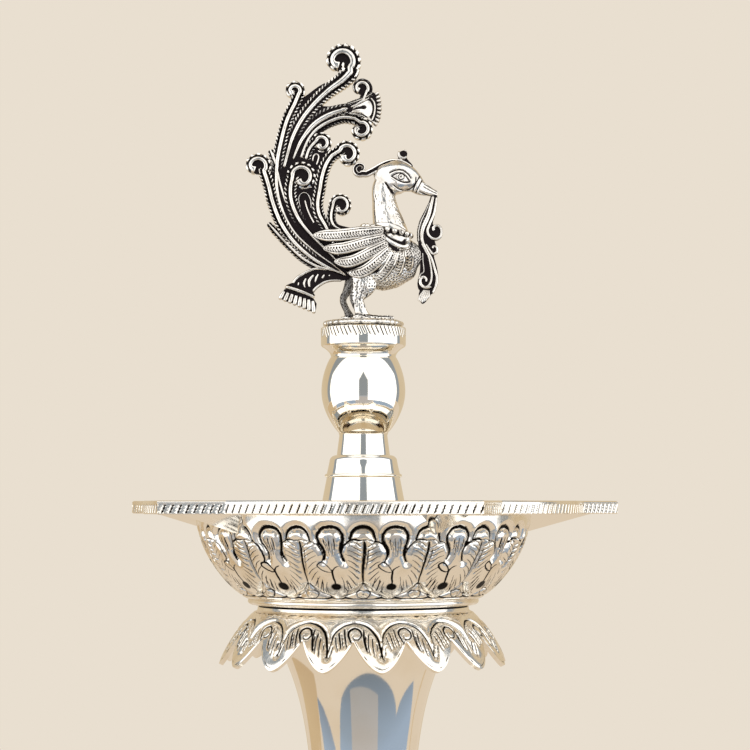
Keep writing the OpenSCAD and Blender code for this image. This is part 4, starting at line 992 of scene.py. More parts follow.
trim = feathers[9:]
tailWires = [
    ([(308.7, 200), (311, 209), (314.5, 217.5), (318.4, 224.5)], 1.2, 1.25),
    ([(303.5, 189.8), (310, 189.2), (316.8, 188)], 0.8, 1.2),
    ([(316.6, 163), (317.2, 157.5), (319.8, 154.6), (322.6, 156.4), (322, 161), (320.2, 166)], 1.1, 1.25),
    ([(374, 97), (378, 102), (379, 108), (378, 115), (375.5, 121)], 1.2, 1.3),
    ([(353.6, 107.5), (362, 104), (374, 97.8)], 1.1, 1.3),
    ([(354, 112), (364, 112.5), (370, 115), (375.5, 121)], 1.1, 1.3),
    ([(355.5, 109), (362, 106.5), (368, 104.8), (371.5, 107), (369, 110.3), (362, 110.8), (355.5, 110.5)], 0.9, 1.2)]
trim += [ribbonPart(line, half, thick, wireSection) for line, half, thick in tailWires]
fanEdges = ([(350, 104.5), (362, 100.5), (370, 97), (377, 92.5)],
            [(352, 113.5), (364, 115.2), (371, 118.5), (379, 123)])
trim += [ribbonPart(line, ((0, 1.6), (0.5, 2.2), (1, 1.6)), 1.2, look={"pitch": 0.7}) for line in fanEdges]
fanTeeth = [((378.5, 94.6), (383.2, 91.7)), ((379.4, 97.9), (384.7, 95.5)), ((379.9, 101.2), (385.6, 99.8)),
            ((380.4, 105), (386.1, 104.1)), ((380.8, 108.4), (386.1, 108.9)), ((380.4, 111.8), (385.6, 113.2)),
            ((379.9, 115.1), (385.1, 117.5)), ((378.9, 118.5), (383.7, 121.3)), ((377, 121.8), (381.3, 125.2))]
trim += [ribbonPart(tooth, ((0, 1.3), (0.8, 1.5), (1, 1.2)), ((0, 1.25), (1, 1.05)), wireSection, taper=(0.3, 0.3))
         for tooth in fanTeeth]
trim.append(ribbonPart([(344, 110.5), (347, 109.8), (351.5, 109)], ((0, 2.4), (1, 2.8)), 1.55, wireSection,
                       taper=(0.5, 0.6)))
gridPiece("tailTrim", trim, "finial", "cast_silver", ["bird_tail"])


def darkPlate(name, node, outline, half, ink=0.9, lean=0.0):
    # A flat backing between the lines, left dark; lean thickens it towards the right
    line = smoothLine(list(outline) + [outline[0]], 3)[:-1]
    spots = birdPoint(line[:, 0], line[:, 1])
    bm = bmesh.new()
    deep = half + lean * (spots[:, 0] - spots[:, 0].min())
    face = bm.faces.new([bm.verts.new((x * mm, -y * mm, z * mm)) for (x, z), y in zip(spots, deep)])
    thick = bmesh.ops.extrude_face_region(bm, geom=[face])
    for corner in thick["geom"]:
        if isinstance(corner, bmesh.types.BMVert):
            corner.co.y = -corner.co.y
    bmesh.ops.triangulate(bm, faces=[f for f in bm.faces if len(f.verts) > 4])
    bmesh.ops.recalc_face_normals(bm, faces=bm.faces)
    mesh = meshFrom(bm, name)
    setGroove(mesh, np.full(len(mesh.vertices), ink))
    makePiece(name, mesh, "finial", "cast_silver", [node])


def circleLine(x, y, r):
    return [(x + r * math.cos(a), y + r * math.sin(a)) for a in np.linspace(0, 2 * math.pi, 20)[:-1]]


tailBack = [(278, 200), (280, 165), (288, 130), (302, 103), (312, 94), (328, 83), (342, 82), (326, 106), (354, 103),
            (354, 114), (335, 121), (320, 134), (322, 150), (335, 150), (329, 170), (325, 195), (327, 222),
            (345, 230), (352, 250), (350, 274), (330, 268), (300, 244)]
darkPlate("tailBacking", "bird_tail", tailBack, 0.85)
for i, (_, _, scroll, _) in enumerate(tailFeathers):
    if scroll:
        darkPlate("scrollBack%d" % i, "bird_tail", circleLine(*scroll[0], scroll[1]), 0.7)
for name, half, ink, lean, outline in (
        ("tailFan", 0.95, 1.0, 0.0, [(353, 103), (366, 98), (377, 92), (381, 98), (383, 107), (382, 116), (378, 122),
                                     (367, 116), (353, 112)]),
        ("fanWedge", 0.85, 0.0, 0.14, [(355, 108.4), (364, 104.6), (372.5, 100.8), (376.3, 107), (375.4, 114),
                                       (372, 117.2), (364, 112.2), (355.5, 111)]),
        ("fanKeyhole", 1.0, 1.0, 0.14, [(357, 108.8), (364, 106.6), (368.6, 105.4), (370.6, 107.6), (368.4, 109.6),
                                        (364, 109.2), (357.5, 110)])):
    darkPlate(name, "bird_tail", outline, half, ink, lean)
print("tail made")

# Its body: lines of pixels with half widths along them, and how deep each is for its width
body = {"trunkRound": 0.68, "neckRound": 0.85, "headRound": 0.7, "voxel": 0.17, "smooth": 8, "dotPitch": 0.72,
        "dotSize": 0.2}
trunkLine = [(338, 262), (352, 259), (367, 258), (383, 259), (397, 259), (409, 258), (418, 256), (425, 255)]
trunkHalf = ((0, 4), (0.14, 15), (0.29, 24), (0.43, 30), (0.57, 33), (0.71, 30), (0.86, 22), (1, 7))
neckLine = [(396, 252), (395, 238), (393, 226), (390, 213), (388, 200), (387, 188), (390, 178)]
neckHalf = ((0, 20), (0.17, 19), (0.33, 16.5), (0.5, 14), (0.67, 12), (0.83, 11), (1, 9))
headLine = [(379, 180), (386, 178), (394, 178), (403, 178), (412, 180), (419, 184), (424, 188), (431, 191),
            (437, 193), (442, 194)]
headHalf = ((0, 5), (0.11, 13), (0.22, 16.5), (0.33, 18), (0.44, 16), (0.56, 12), (0.67, 8.5), (0.78, 6.5),
            (0.89, 4.5), (1, 2.5))


def limbPart(points, half, roundness, offset=0, sides=28, step=0.4):
    # A closed oval tube along a line of pixels
    half, offset = alongTable(half), alongTable(offset)
    line = smoothLine(points, 8)
    full = birdPoint(line[:, 0], line[:, 1])
    count = max(int(lengthAlong(full)[-1] / step), 8)
    middle, _ = evenLine(full, count + 1)
    t = np.linspace(0, 1, count + 1)
    width = np.interp(t, *zip(*half)) * bird["pixel"]
    away = np.interp(t, *zip(*offset))
    run = np.gradient(middle, axis=0)
    run /= np.hypot(*run.T)[:, None]
    across = np.column_stack([-run[:, 1], run[:, 0]])

    def place(u, v):
        i = gridIndex(u, count + 2)
        closed = np.where((i == 0) | (i == count + 2), 0.0, 1.0)
        i = np.clip(i - 1, 0, count)
        a = 2 * math.pi * v
        spot = middle[i] + across[i] * (width[i] * np.cos(a) * closed)[:, None]
        deep = away[i] + width[i] * roundness * np.sin(a) * closed
        return np.column_stack([spot[:, 0], deep, spot[:, 1]]), np.zeros(len(u))
    return count + 2, sides, place


def skinOver(name, parts, voxel, smooth):
    # One skin over overlapping limbs
    rough = addObject(name, gridMesh(name + "Limbs", parts))
    remesh = rough.modifiers.new("skin", "REMESH")
    remesh.mode = "VOXEL"
    remesh.voxel_size = voxel * mm
    soften = rough.modifiers.new("soften", "SMOOTH")
    soften.iterations = smooth
    soften.factor = 0.5
    mesh = bpy.data.meshes.new_from_object(rough.evaluated_get(bpy.context.evaluated_depsgraph_get()))
    bpy.data.objects.remove(rough)
    mesh.name = name
    return mesh


def carve(mesh, lines, dotZones, dotPitch, dotSize):
    # Chased lines and punched dots on both sides of a skin. A line is (half width, depth, ink, points);
    # a zone is (outline, its dots' ink, their depth, the ink between them).
    count = len(mesh.vertices)
    spots, out = np.empty(count * 3), np.empty(count * 3)
    mesh.vertices.foreach_get("co", spots)
    mesh.vertex_normals.foreach_get("vector", out)
    spots, out = spots.reshape(-1, 3) / mm, out.reshape(-1, 3)
    flat = spots[:, [0, 2]]
    facing = smoothStep(0.1, 0.5, np.abs(out[:, 1]))
    shift, ink = np.zeros(count), np.zeros(count)
    tree = KDTree(count)
    for i, spot in enumerate(spots):
        tree.insert(spot, i)
    tree.balance()
    for outline, darkness, depth, solid in dotZones:
        zone = birdPoint(*np.array(outline).T)
        inside = np.zeros(count, bool)
        for a, b in zip(zone, np.roll(zone, -1, axis=0)):
            crosses = (a[1] > flat[:, 1]) != (b[1] > flat[:, 1])
            inside ^= crosses & (flat[:, 0] < (b[0] - a[0]) * (flat[:, 1] - a[1]) / (b[1] - a[1] + 1e-12) + a[0])
        ink[inside] = np.maximum(ink[inside], solid)
        free = inside.copy()
        for i in chance.permutation(np.flatnonzero(inside)):
            if not free[i]:
                continue
            for spot, k, gap in tree.find_range(spots[i], dotPitch * 0.8):
                free[k] = False
                if gap < dotSize * 2:
                    cut = 1 - smoothStep(dotSize * 0.4, dotSize * 1.5, gap)
                    shift[k] = min(shift[k], -depth * float(cut))
                    ink[k] = max(ink[k], darkness * float(cut))
    for half, depth, dark, points in lines:
        line = smoothLine(points, 4) if len(points) > 1 else np.array([points[0], points[0]])
        line = birdPoint(line[:, 0], line[:, 1])
        half = half * bird["pixel"]
        low, high = line.min(0) - half * 2 - 0.3, line.max(0) + half * 2 + 0.3
        near = np.flatnonzero(np.all((flat > low) & (flat < high), axis=1))
        gap, share = lineDistance(flat[near], line)
        cut = (1 - smoothStep(half * 0.35, half * 1.2 + 0.05, gap)) * facing[near]
        shift[near] = np.where(cut > 0.02, shift[near] * (1 - cut) - depth * cut, shift[near])
        ink[near] = np.maximum(ink[near], cut * dark) if dark > 0 else ink[near] * (1 - cut)
    spots += out * shift[:, None]
    mesh.vertices.foreach_set("co", (spots * mm).ravel())
    setGroove(mesh, ink)
    mesh.update()


bodyLines = [
    (4.0, 0.1, 1, [(362, 227), (376, 229), (391, 232.4), (405, 235.4), (419, 238.4)]),
    (0.85, 0.26, 1, [(393.4, 174.5), (399.1, 171.9), (405.5, 171.3), (411.9, 175.1), (415.1, 179.6)]),
    (0.8, 0.24, 1, [(395.3, 178.3), (400.4, 175.4), (405.5, 174.9), (409.8, 177.7), (413.5, 182.8)]),
    (0.85, 0.26, 1, [(396.2, 178.6), (400.4, 181.4), (405.5, 183.7), (410, 184.4), (413.8, 183.6)]),
    (0.55, 0.2, 1,
     [(402, 178), (403.2, 181), (406, 181.6), (408.2, 179.4), (407.4, 176.4), (404.6, 175.8), (402, 178)]),
    (1.2, 0.25, 1, [(405, 178.6)]),
    (0.8, 0.24, 0.9, [(397.5, 187.2), (403, 190.8), (409.3, 191.6), (415.7, 189.4), (419.6, 184), (420.2, 178.6)]),
    (0.7, 0.22, 1, [(424.5, 176.5), (421, 183), (417.6, 190.4), (415.4, 195.5)]),
    (0.7, 0.22, 1, [(428, 178.6), (424.6, 184.6), (421.2, 191.4), (418.4, 196.6)]),
    (0.6, 0.18, 0.9, [(427.5, 187.5), (433, 190.6), (441, 194.4)]),
    (0.6, 0.15, 0.8, [(429, 184.6), (436, 188.6), (443, 193)]),
    (0.7, 0.2, 0.9, [(424, 193), (430, 195.4), (437, 197.6)]),
    (1.0, 0.3, 1, [(389.6, 184.8), (393, 189.5), (397.4, 194.6)]),
    (0.6, 0.15, 0.7, [(397.4, 194.6), (402, 196.6), (409, 196)]),
    (0.8, 0.2, 0.9, [(399, 197), (402, 206), (405.5, 216), (408, 224)]),
    (0.6, 0.1, 0.7, [(378.5, 224.5), (390, 224.5), (402, 227.5), (410, 231.5)]),
    (3.6, 0.15, 0.95, [(382, 233), (389, 239), (398, 244), (406, 246), (410, 243)]),
    (2.3, -0.5, 0, [(379, 231.5), (387.5, 240), (397.9, 246.8), (406.8, 249.6), (411.6, 246.6), (412, 240.4)]),
    (0.6, 0.1, 1, [(379, 235.5), (388, 244), (397.5, 250.8), (407, 253.8), (414.6, 249.6), (415.5, 242)])]
for _ in range(34):
    x, y = chance.uniform(379, 401), chance.uniform(192, 224)
    x += (y - 208) * 0.12
    bodyLines.append((0.4, 0.09, 0.75, [(x, y), (x + chance.uniform(-.6, .6), y + chance.uniform(1.6, 3.2))]))
bodySkin = skinOver("peacockBody", [limbPart(trunkLine, trunkHalf, body["trunkRound"]),
                                    limbPart(neckLine, neckHalf, body["neckRound"]),
                                    limbPart(headLine, headHalf, body["headRound"])], body["voxel"], body["smooth"])
breast = [(404, 244), (432, 240), (434, 270), (420, 294), (380, 300), (350, 290), (345, 270), (372, 268), (398, 268)]
napeZone = [(396, 196), (404, 196), (412, 226), (402, 226)]
underWing = [(330, 232), (386, 232), (400, 248), (404, 256), (396, 266), (380, 276), (352, 274), (338, 263)]
frontBreast = [(413, 246), (434, 240), (436, 272), (424, 286), (416, 276), (418, 262)]
# The front of the breast is darker between its dots than the rest of the breast, as painted shade on the side away
# from the key light
carve(bodySkin, bodyLines,
      ((breast, 1, 0.16, 0.26), (frontBreast, 1, 0.1, 0.5), (napeZone, 0.7, 0.08, 0), (underWing, 0, 0, 0.95)),
      body["dotPitch"], body["dotSize"])
makePiece("peacockBody", bodySkin, "finial", "cast_silver", ["bird_body"], 70)

perch = {"r": 10.1, "low": 294.4, "high": 295.9, "columns": 256, "rows": 79, "topInk": 0.25, "pitInk": 0.75,
         "edgeInk": 0.4, "hollowInk": 0.3, "mostInk": 0.8}
perchSide = [(0.01, perch["low"]), (perch["r"] - 0.5, perch["low"]), (perch["r"] - 0.1, perch["low"] + 0.35),
             (perch["r"], perch["low"] + 0.75), (perch["r"] - 0.35, perch["high"] - 0.25),
             (perch["r"] - 1.1, perch["high"]), (0.01, perch["high"])]
perchSpots, _ = evenLine(np.array(perchSide), perch["rows"] + 1)


def perchPlace(u, v):
    # Cast rough: a lumpy edge and a hammered top
    a = 2 * math.pi * u
    r, z = perchSpots[gridIndex(v, perch["rows"])].T
    edge = smoothStep(perch["r"] - 3.1, perch["r"] - 0.5, r)
    top = smoothStep(perch["high"] - 0.7, perch["high"] - 0.1, z)
    lump = 0.16 * np.sin(a * 9 + np.sin(a * 4) * 2) + 0.12 * np.sin(a * 23 + 1 + np.sin(a * 7) * 2) \
        + 0.07 * np.sin(a * 47)
    pits = np.sin(r * 5 * np.cos(a) + 2 * np.sin(r * np.sin(a) * 3)) \
        * np.sin(r * 5 * np.sin(a) + 2 * np.cos(r * np.cos(a) * 2))
    r = r + lump * edge - 0.15 * edge
    ink = perch["pitInk"] * smoothStep(0.35, 0.8, -pits * top) \
        + perch["hollowInk"] * smoothStep(0.0, 0.25, -lump) * edge \
        + perch["edgeInk"] * edge * (1 - smoothStep(perch["low"] + 0.4, perch["low"] + 1.1, z)) \
        + perch["topInk"] * top
    z = z + 0.07 * pits * top * (1 - edge * 0.5) - 0.05 * top
    return onAxis(a, r, z), np.clip(ink, 0, perch["mostInk"])


gridPiece("perchDisc", [(perch["columns"], perch["rows"], perchPlace)], "finial", "cast_silver", ["perch"], 60)

legs = {"apart": 2.17, "voxel": 0.2, "smooth": 3, "dotPitch": 0.9, "dotSize": 0.22, "toeSides": 16}
near, far = -legs["apart"], legs["apart"]
legParts = [
    limbPart([(369, 277), (367, 288), (361, 300), (364, 310), (366, 317), (368, 321)],
             ((0, 14), (0.2, 13.5), (0.4, 9.5), (0.6, 6.5), (0.8, 6), (1, 8)), 0.5, near),
    limbPart([(358, 277), (352, 290), (347, 300), (350, 309), (353, 316), (354, 321)],
             ((0, 9), (0.2, 6), (0.4, 4), (0.6, 3.4), (0.8, 3.4), (1, 6)), 0.8, far)]
toeLine = [(357, 319.5), (370, 319.3), (385, 320), (398, 320.5)]
toeHalf = ((0, 2.5), (0.4, 3), (0.75, 2.2), (0.85, 3), (1, 1.8))
for spread in (-1, 0, 1):
    legParts.append(limbPart(toeLine, toeHalf, 1, ((0, near), (1, near + spread * legs["apart"])), legs["toeSides"]))
legParts.append(limbPart([(x - 12, y) for x, y in toeLine], toeHalf, 1, far, legs["toeSides"]))
legSkin = skinOver("peacockLegs", legParts, legs["voxel"], legs["smooth"])
thigh = [(355, 272), (386, 272), (378, 298), (366, 310), (357, 308)]
farLeg = [(347, 276), (357, 276), (357, 300), (360, 316), (350, 318), (344, 306), (344, 296)]
claws = [(345, 316), (392, 316), (400, 323), (345, 323)]
legCuts = [
    (0.8, 0.15, 0.8, [(368, 290), (365, 298), (364, 303)]), (0.8, 0.15, 0.8, [(372, 296), (369, 303), (369, 309)]),
    (0.8, 0.12, 0.8, [(362, 284), (361, 290), (362, 296)]),
    (0.9, 0.15, 0.9, [(372, 317), (384, 318.5), (396, 319.5)]),
    (0.8, 0.15, 0.9, [(352, 318), (362, 316), (374, 319.5)])]
# The far leg's solid ink between its dots is painted shade, as it stands behind the near leg
carve(legSkin, legCuts, ((thigh, 0.95, 0.14, 0.1), (farLeg, 1, 0.1, 0.72), (claws, 1, 0.14, 0.25)),
      legs["dotPitch"], legs["dotSize"])
makePiece("peacockLegs", legSkin, "finial", "cast_silver", ["bird_legs"], 70)
print("body and legs made")

wingFeathers = [
    [(388, 233), (365, 236), (340, 238), (317, 237)], [(390, 240), (368, 246), (346, 251), (327, 250)],
    [(392, 246), (374, 256), (355, 264), (338, 263)], [(395, 251), (382, 264), (367, 274), (352, 275)],
    [(399, 254), (393, 267), (385, 277), (375, 283)], [(404, 254), (403, 264), (400, 273), (395, 280)],
    [(410, 252), (412, 260), (411, 268), (408, 274)]]
wing = {"half": ((0, 4.2), (0.3, 6.3), (0.8, 6.4), (1, 3)), "thick": ((0, 0.75), (0.8, 0.8), (1, 0.5)),
        "out": ((0, 5.25), (0.35, 5.46), (0.7, 3.92), (1, 2.31)), "taper": (1.0, 2.2), "step": 0.18}
for name, node, way in (("rightWing", "right_wing", -1), ("leftWing", "left_wing", 1)):
    parts = [ribbonPart(line, wing["half"], wing["thick"], vaneSection, taper=wing["taper"], step=wing["step"],
                        offset=[(t, way * y) for t, y in wing["out"]]) for line in wingFeathers]
    gridPiece(name, parts, "finial", "cast_silver", [node])

# Round beads on a tilted oval string, dark where the string goes in
collar = {"middle": (391, 232), "tilt": 11, "half": (6.125, 4.62), "bead": 0.72, "beads": 20, "sides": 20,
          "rings": 14}
bm = bmesh.new()
inkOfBeads = []
tilt = Matrix.Rotation(math.radians(collar["tilt"]), 4, "Y")
centre = birdPoint([collar["middle"][0]], [collar["middle"][1]])[0]
for i in range(collar["beads"]):
    a = 2 * math.pi * i / collar["beads"]
    spot = tilt @ Vector((collar["half"][0] * math.cos(a), collar["half"][1] * math.sin(a), 0))
    move = Matrix.Translation((Vector((centre[0], 0, centre[1])) + spot) * mm)
    bead = bmesh.ops.create_uvsphere(bm, u_segments=collar["sides"], v_segments=collar["rings"],
                                     radius=collar["bead"] * mm, matrix=move)
    string = tilt @ Vector((-collar["half"][0] * math.sin(a), collar["half"][1] * math.cos(a), 0)).normalized()
    for corner in bead["verts"]:
        off = abs((corner.co - move.translation).dot(string)) / (collar["bead"] * mm)
        inkOfBeads.append(float(smoothStep(0.55, 0.85, off)))
collarMesh = meshFrom(bm, "beadCollar")
setGroove(collarMesh, inkOfBeads)
makePiece("beadCollar", collarMesh, "finial", "cast_silver", ["collar_beads"])

crestParts = [
    ribbonPart([(416, 168.5), (409, 164.2), (401, 161.8), (393, 162.8), (385, 166.4), (377, 171), (370, 174.4)],
               ((0, 2.2), (0.4, 3.4), (1, 3.2)), 0.9, channelSection, scroll=((363.8, 169.8), 4.6, -60, -330),
               narrow=0.35, look={"rim": 0.36, "ticks": 0.1}),
    ribbonPart([(403.6, 151), (402.8, 154.4), (404.8, 157.6), (408.6, 158.2), (411.4, 156.6)],
               ((0, 1.1), (0.5, 1.7), (1, 1.1)), 0.8, wireSection),
    ribbonPart([(410.6, 152.4), (409.8, 150.6), (408, 150.4)], ((0, 1.2), (1, 1)), 0.7, wireSection),
    ribbonPart([(404, 158), (405.5, 161.5)], ((0, 1.5), (1, 2)), 0.7, wireSection)]
gridPiece("crestScroll", crestParts, "finial", "cast_silver", ["crest"])
for name, node, half, outline in (
        ("crestBack", "crest", 0.5, [(404, 152), (408, 150.6), (411.4, 153), (411, 157), (412, 160), (417, 166),
                                     (414, 169), (405, 163), (402.4, 158), (402.6, 154)]),
        ("crestScrollBack", "crest", 0.45, circleLine(363.8, 169.8, 4.2)),
        ("garlandBack", "beak_garland", 0.42, [
            (435, 196.5), (441.5, 196.5), (440, 213), (437, 225), (444, 228), (445, 237), (439, 240), (441, 250),
            (438, 256), (441, 268), (442.5, 280), (440, 290), (434, 296), (424, 292), (421.5, 284), (424, 272),
            (424, 258), (422.5, 246), (422.5, 236), (425.5, 224), (430, 212)]),
        ("garlandTassel", "beak_garland", 0.4, [(425, 289), (437, 289), (433, 299), (427, 305), (423.8, 301),
                                                (422.8, 295)]),
        ("rumpFringe", "rump_tassel", 0.4, [(289, 290), (318, 300), (318, 313), (302, 306), (285, 300)]),
        ("rumpBack", "rump_tassel", 0.55, [
            (296.5, 284), (305, 277), (316, 271.5), (324, 270.6), (343, 273.4), (353, 275), (351, 281), (336, 281.2),
            (329, 282.8), (322.7, 286.6), (317.2, 292.5), (317.5, 297), (290.5, 288.5)])):
    darkPlate(name, node, outline, half)
garlandLines = [
    ([(437.6, 196), (433, 215), (427.5, 228), (426, 236), (426.8, 243), (431, 251.5), (435.5, 259.5), (438.8, 270),
      (441, 279), (439.8, 287), (436.5, 294.5)],
      ((0, 1.5), (0.25, 2.2), (0.45, 1.7), (0.6, 1.3), (0.9, 1.6), (1, 1.2)), 0.85),
    ([(441, 197), (438.6, 213), (434, 224.5), (431.6, 232), (434.5, 238), (440.5, 240), (445, 236.5), (445.3, 230),
      (441.5, 226.3), (437.5, 228.5), (438.4, 232)], ((0, 1.2), (0.5, 1.5), (0.85, 1.4), (1, 1.7)), 0.8),
    ([(429.5, 244), (433.5, 250.5), (437, 254.8), (441, 253), (440.8, 248.5), (437.5, 247.3), (436.6, 250)],
     ((0, 0.9), (0.6, 1.4), (1, 1.2)), 0.75),
    ([(425.2, 243.6), (429, 251), (432.9, 259), (435.6, 274), (434.6, 283.5), (430, 288.5), (425.3, 286),
      (424.3, 281), (427.5, 278), (430.5, 280.4), (429.2, 283.2)], ((0, 0.8), (0.5, 1.3), (0.8, 1.7), (1, 1.3)), 0.8),
    ([(426.8, 252.7), (427, 262), (427.8, 272.5), (424.5, 275.5), (422.5, 281)], ((0, 0.6), (1, 0.9)), 0.65)]
garlandParts = [ribbonPart(line, half, thick, wireSection) for line, half, thick in garlandLines]
garlandParts.append(ribbonPart([(434.4, 202), (429.5, 213), (425, 223), (422.6, 233), (422.8, 243)],
                               ((0, 1), (0.5, 1.9), (1, 1.4)), 0.6, look={"pitch": 0.7, "fringe": 0.7}))
for lean in (-3.8, -1.9, 0.0, 1.9, 3.8):
    strand = [(431 + lean * 0.5, 290), (428.5 + lean * 1.15, 297), (426 + lean * 0.8, 304.5 - abs(lean) * 0.5)]
    garlandParts.append(ribbonPart(strand, ((0, 0.8), (0.6, 1.25), (1, 0.9)), ((0, 0.7), (0.6, 0.8), (1, 0.5)),
                                   wireSection))
garlandParts.append(ribbonPart([(424, 287), (430, 289), (436, 288)], 1.2, 0.95, wireSection))
gridPiece("beakGarland", garlandParts, "finial", "cast_silver", ["beak_garland"])

rumpLines = [
    ([(296.6, 285.5), (299.6, 280.6), (305.4, 276), (316.2, 270.8), (323.8, 269.9), (334, 271), (344, 273.2)], 1.4),
    ([(316.8, 294), (318.6, 290.6), (322.7, 287), (329.2, 283.2), (336.2, 281.6), (346, 281.6)], 1.1)]
rumpBars = [
    ([(303, 283), (302.1, 287.5)], 1.0), ([(310.4, 279), (308.2, 284.4), (309.4, 289.6)], 1.4),
    ([(318, 275.8), (313.4, 282), (313.8, 289)], 1.8), ([(322.8, 274.8), (320.4, 279), (319.2, 284)], 1.4),
    ([(328.9, 275.3), (325.8, 280.2)], 1.3), ([(334.6, 275.6), (332.5, 277.8)], 1.1)]
rumpParts = [ribbonPart(line, ((0, 1.4), (0.6, half), (1, 0.9)), 0.85, wireSection) for line, half in rumpLines]
rumpParts += [ribbonPart(line, ((0, half * 0.6), (0.5, half), (1, half * 0.6)), 0.85, wireSection, taper=(0.3, 0.3),
                         step=0.15) for line, half in rumpBars]
rumpParts.append(ribbonPart([(288.8, 288), (296, 289.8), (305, 292.8), (313, 296), (318.6, 298.8)],
                            ((0, 1.7), (0.5, 2.0), (1, 1.7)), 1.35, wireSection))
for t in [i / 7 for i in range(8)]:
    top, low = (288.5 + 28.5 * t, 292 + 9.5 * t), (283.5 + 34.5 * t, 301 + 14 * t)
    rumpParts.append(ribbonPart([top, ((top[0] + low[0]) / 2, (top[1] + low[1]) / 2), low],
                                ((0, 1.5), (0.6, 2.15), (1, 1.7)), 0.8, wireSection, taper=(0.3, 0.5)))
gridPiece("rumpTassel", rumpParts, "finial", "cast_silver", ["rump_tassel"])
print("peacock made")

# Two large softboxes flank the camera and a cream room is behind; only metal sees them as shapes
studio = {
    "backdrop": "#E9DFD0", "boxes": "#FFFFFF", "boxPower": 1.7, "boxFrom": 12.5, "joinFrom": 20, "joinLean": 0.9,
    "boxTo": 104, "boxLow": -14, "boxHigh": 64, "flag": "#98A0A8", "flagWidth": 13, "flagLow": -80, "flagHigh": 72,
    "room": "#D8C6A8", "fill": "#F3EEE6", "fillPower": 0.7, "tablecloth": "#E0D0BB", "clothPower": 1.02,
    "floorR": 1.3, "fadeFrom": 0.45, "fadeTo": 1.2, "lampAim": (0, 0, 0.2)}
world = bpy.data.worlds.new("studio")
bpy.context.scene.world = world
world.use_nodes = True
tree = world.node_tree
tree.nodes.clear()
direction = addNode(tree, "ShaderNodeSeparateXYZ", None,
                    {0: addNode(tree, "ShaderNodeTexCoord").outputs["Generated"]})


def worldBand(value, low, high, soft):
    # 1 between two values of an angle, with soft edges
    edges = [addNode(tree, "ShaderNodeMapRange", {
        "interpolation_type": "SMOOTHSTEP", 1: edge - soft, 2: edge + soft, 3: below, 4: 1.0 - below},
        {0: value}).outputs[0] for edge, below in ((low, 0.0), (high, 1.0))]
    return addNode(tree, "ShaderNodeMath", {"operation": "MULTIPLY"}, {0: edges[0], 1: edges[1]}).outputs[0]


radians = math.radians
forward = addNode(tree, "ShaderNodeMath", {"operation": "MULTIPLY", 1: -1.0}, {0: direction.outputs[1]}).outputs[0]
turn = addNode(tree, "ShaderNodeMath", {"operation": "ARCTAN2"}, {0: direction.outputs[0], 1: forward}).outputs[0]
turn = addNode(tree, "ShaderNodeMath", {"operation": "ABSOLUTE"}, {0: turn}).outputs[0]
rise = addNode(tree, "ShaderNodeMath", {"operation": "ARCSINE"}, {0: direction.outputs[2]}).outputs[0]
# Above joinFrom the gap between the boxes closes
over = addNode(tree, "ShaderNodeMath", {"operation": "SUBTRACT", 1: radians(studio["joinFrom"])},
               {0: rise}).outputs[0]
over = addNode(tree, "ShaderNodeMath", {"operation": "MAXIMUM", 1: 0.0}, {0: over}).outputs[0]
lean = addNode(tree, "ShaderNodeMath", {"operation": "MULTIPLY", 1: studio["joinLean"]}, {0: over}).outputs[0]
leaning = addNode(tree, "ShaderNodeMath", {"operation": "ADD"}, {0: turn, 1: lean}).outputs[0]
boxes, flags = [
    addNode(tree, "ShaderNodeMath", {"operation": "MULTIPLY"}, {
        0: worldBand(across, acrossLow, radians(acrossHigh), acrossSoft),
        1: worldBand(rise, radians(low), radians(high), soft)}).outputs[0]
    for across, acrossLow, acrossHigh, acrossSoft, low, high, soft in (
        (leaning, radians(studio["boxFrom"]), studio["boxTo"], 0.02, studio["boxLow"], studio["boxHigh"], 0.03),
        (turn, -1.0, studio["boxTo"] + studio["flagWidth"], 0.04, studio["flagLow"], studio["flagHigh"], 0.05))]
room = addNode(tree, "ShaderNodeMix", {"data_type": "RGBA", 6: linear(studio["room"]),
                                       7: linear(studio["flag"])}, {0: flags}).outputs[2]
roomLight = addNode(tree, "ShaderNodeBackground", {"Strength": 1.0}, {"Color": room}).outputs[0]
boxLight = addNode(tree, "ShaderNodeBackground", {"Color": linear(studio["boxes"]),
                                                  "Strength": studio["boxPower"]}).outputs[0]
seen = addNode(tree, "ShaderNodeMixShader", None, {0: boxes, 1: roomLight, 2: boxLight}).outputs[0]
fill = addNode(tree, "ShaderNodeBackground", {"Color": linear(studio["fill"]),
                                              "Strength": studio["fillPower"]}).outputs[0]
backdrop = addNode(tree, "ShaderNodeBackground", {"Color": linear(studio["backdrop"])}).outputs[0]
rays = addNode(tree, "ShaderNodeLightPath")
shiny = addNode(tree, "ShaderNodeMath", {"operation": "MAXIMUM"}, {
    0: rays.outputs["Is Glossy Ray"], 1: rays.outputs["Is Transmission Ray"]}).outputs[0]
metalSees = addNode(tree, "ShaderNodeMixShader", None, {0: shiny, 1: fill, 2: seen}).outputs[0]
everything = addNode(tree, "ShaderNodeMixShader", None,
                     {0: rays.outputs["Is Camera Ray"], 1: metalSees, 2: backdrop}).outputs[0]
addNode(tree, "ShaderNodeOutputWorld", None, {"Surface": everything})

for name, place, size, power in (("keyLight", (-0.7, -0.9, 0.9), 0.7, 6), ("fillLight", (0.8, -0.7, 0.6), 0.7, 3),
                                 ("backLight", (0.2, 0.9, 0.8), 0.8, 3)):
    lampData = bpy.data.lights.new(name, "AREA")
    lampData.size = size
    lampData.energy = power
    lamp = addObject(name, lampData)
    lamp.location = place
    lamp.rotation_euler = (Vector(studio["lampAim"]) - lamp.location).to_track_quat("-Z", "Y").to_euler()
    lamp.visible_camera = False
    lamp.visible_glossy = False


def axisDistance(tree):
    place = addNode(tree, "ShaderNodeTexCoord").outputs["Object"]
    return addNode(tree, "ShaderNodeVectorMath", {"operation": "LENGTH"}, {0: place}).outputs["Value"]


